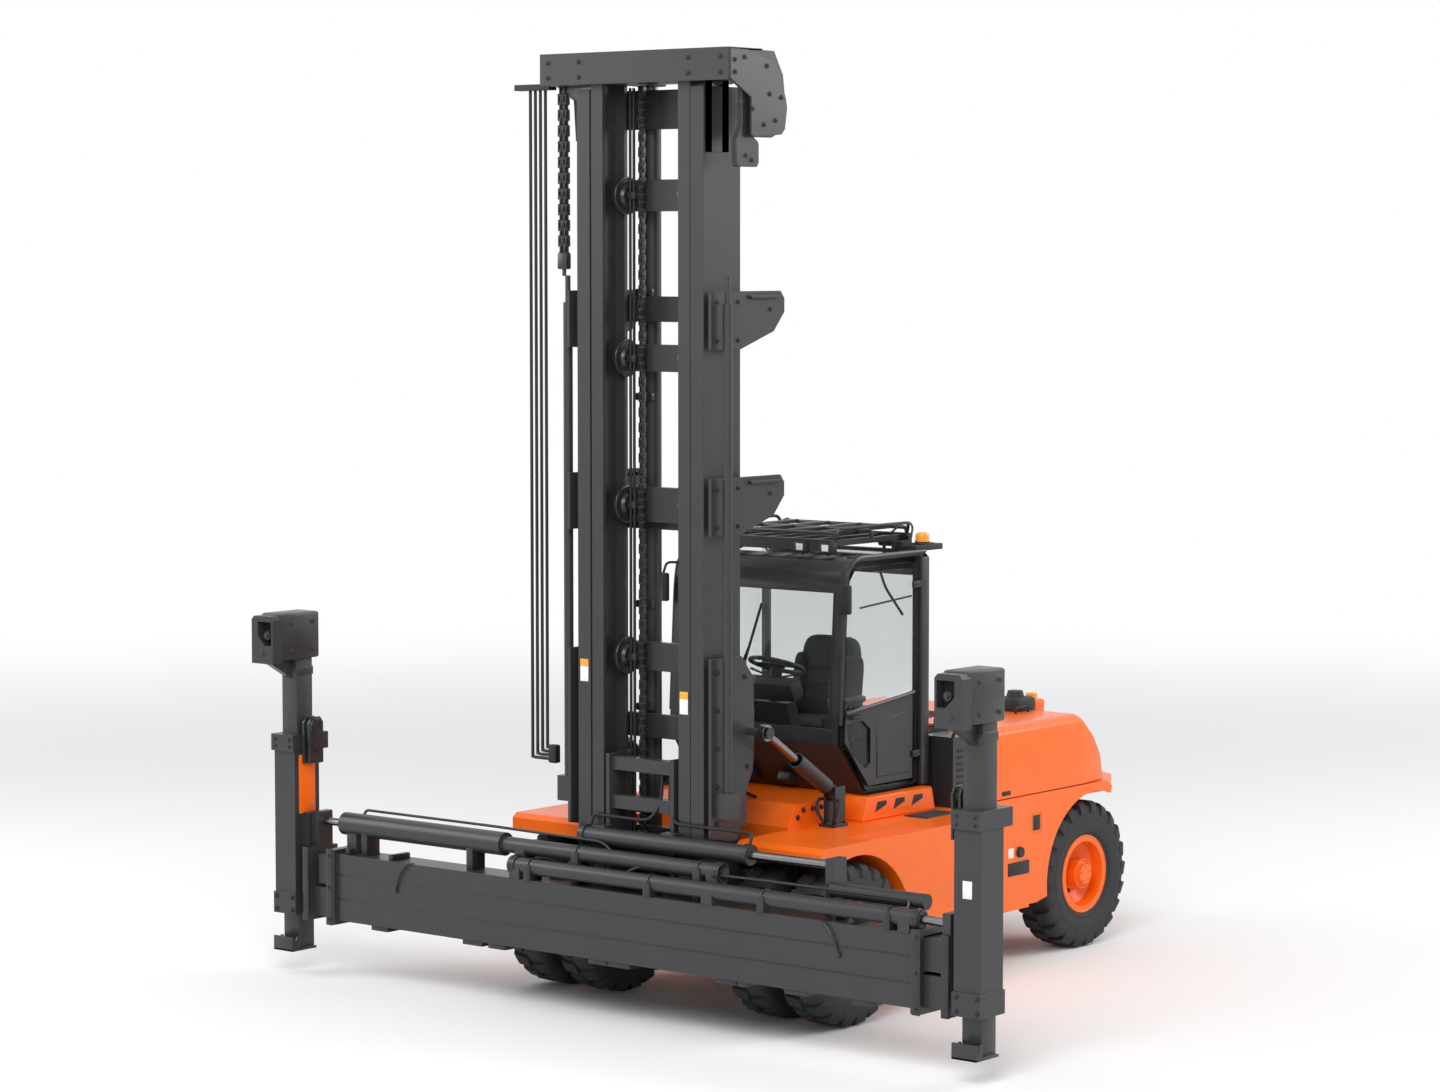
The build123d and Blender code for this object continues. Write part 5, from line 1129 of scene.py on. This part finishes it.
# Sleeves and posts: clamps, pivots, lock heads with open mouths, hooked feet
endLook = {  # pairs are (X, height), or (aft, height) for the lug, gusset and nose
    "sleeveX": 3.0545,
    "footBolts": (0.46, 0.55),
    "collarBolts": (1.62, 1.67),
    "lugXs": (2.845, 2.79),
    "lug": [(0.29, 1.50), (0.43, 1.50), (0.43, 1.79), (0.40, 1.829), (0.32, 1.829), (0.29, 1.79)],
    "pivots": ((1.76, 0.045, 32), (1.62, 0.030, 24)),  # height, radius, sides
    "postX": 2.95,
    "gusset": [(0.20, 0.18), (0.27, 0.18), (0.27, 0.262), (0.25, 0.266)],
    "headX": 2.9475,
    "headHalf": 0.1075,
    "face": [(2.845, 2.221), (3.055, 2.221), (3.055, 2.53), (3.03, 2.556), (2.87, 2.556), (2.845, 2.53)],
    "faceBox": (2.845, 0.21, 2.221, 0.335),
    "mouthShares": ((0.08, 0.38), (0.40, 0.38), (0.71, 0.59), (0.71, 0.88), (0.08, 0.88)),
    "nose": [(0.108, 2.242), (0.06, 2.222), (0.27, 2.10), (0.27, 2.242)],
    "headBolts": ((0.19, 2.50), (0.19, 2.30), (0.40, 2.50), (0.40, 2.30)),
}
for side, sideNode, hand in handed:
    sleeve = bmesh.new()
    for up in endLook["footBolts"]:
        for x in (2.875, 3.03):
            addBolt(sleeve, (hand * x, 0.207, up), (0, -1, 0), 0.014)
        for back in (0.25, 0.43):
            addBolt(sleeve, (hand * endLook["sleeveX"], back, up), (hand * 0.2, 0, 0), 0.006)
    for up in endLook["collarBolts"]:
        for x in (2.88, 3.02):
            addBolt(sleeve, (hand * x, 0.194, up), (0, -1, 0), 0.010)
    for x in endLook["lugXs"]:  # the pivot's lugs, inboard of the sleeve
        addPanel(sleeve, atX(hand * x, endLook["lug"]), (hand * -0.018, 0, 0), 0.003)
    for up, radius, sides in endLook["pivots"]:
        addPin(sleeve, hand * 2.86, hand * 2.755, 0.36, up, radius, sides)
    addHoop(sleeve, (hand * 2.77, 0.36, 1.76), 0.052, 0.010, steps=36)
    addSlab(sleeve, hand * 2.77, 0.029, (0.235, 0.395), (0.262, 0.915), 0.004)
    finishPiece("sleeveFittings" + side, sleeve, "end_" + sideNode, "black_metal")
    plate = bmesh.new()
    if hand > 0:
        addBox(plate, (2.915, 0.2185, 1.16), (2.985, 0.2205, 1.27), 0.0006)
        finishPiece("sleevePlate" + side, plate, "end_left", "plate_white")
    else:
        addBox(plate, (-2.8505, 0.26, 1.145), (-2.8475, 0.42, 1.56), 0.0006)
        finishPiece("sleevePlate" + side, plate, "end_right", "orange_paint")

    post = bmesh.new()
    postX = hand * endLook["postX"]
    headX, headHalf = hand * endLook["headX"], endLook["headHalf"]
    addSlab(post, postX, 0.075, (0.27, 0.165), (0.43, 2.30), 0.012)
    addSlab(post, postX, 0.095, (0.19, 0.165), (0.43, 0.183), 0.004)
    addSlab(post, postX, 0.095, (0.19, 0.165), (0.208, 0.268), 0.004)
    for x in (-0.085, 0.075):
        addPanel(post, atX(postX + x, endLook["gusset"]), (0.012, 0, 0))
    addSlab(post, headX, headHalf, (0.100, 2.240), (0.467, 2.568), 0.018)
    face = [(hand * x, 0.012, up) for x, up in endLook["face"]]
    mouth = [(hand * x, 0.012, up) for x, up in inBox(endLook["faceBox"], endLook["mouthShares"])]
    addHoledPanel(post, face, mouth, (0, 0.095, 0))
    addRod(post, (hand * 2.925, 0.035, 2.418), (hand * 2.925, 0.12, 2.418), 0.030, 28, 0.036)
    addRod(post, (hand * 2.925, 0.020, 2.418), (hand * 2.925, 0.037, 2.418), 0.016, 20)
    addRod(post, (hand * 2.957, 0.006, 2.294), (hand * 2.957, 0.014, 2.294), 0.024, 24)
    addPanel(post, atX(postX - 0.03, endLook["nose"]), (0.06, 0, 0), 0.004)
    for back, up in endLook["headBolts"]:
        for facing in (1, -1):
            addBolt(post, (headX + facing * headHalf, back, up), (facing, 0, 0), 0.012)
    addSlab(post, postX, 0.079, (0.266, 2.12), (0.434, 2.18), 0.006)
    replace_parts(finishPiece("post" + side, post, "post_" + sideNode, "mast_grey"), "post_" + sideNode)
print("ends ready")
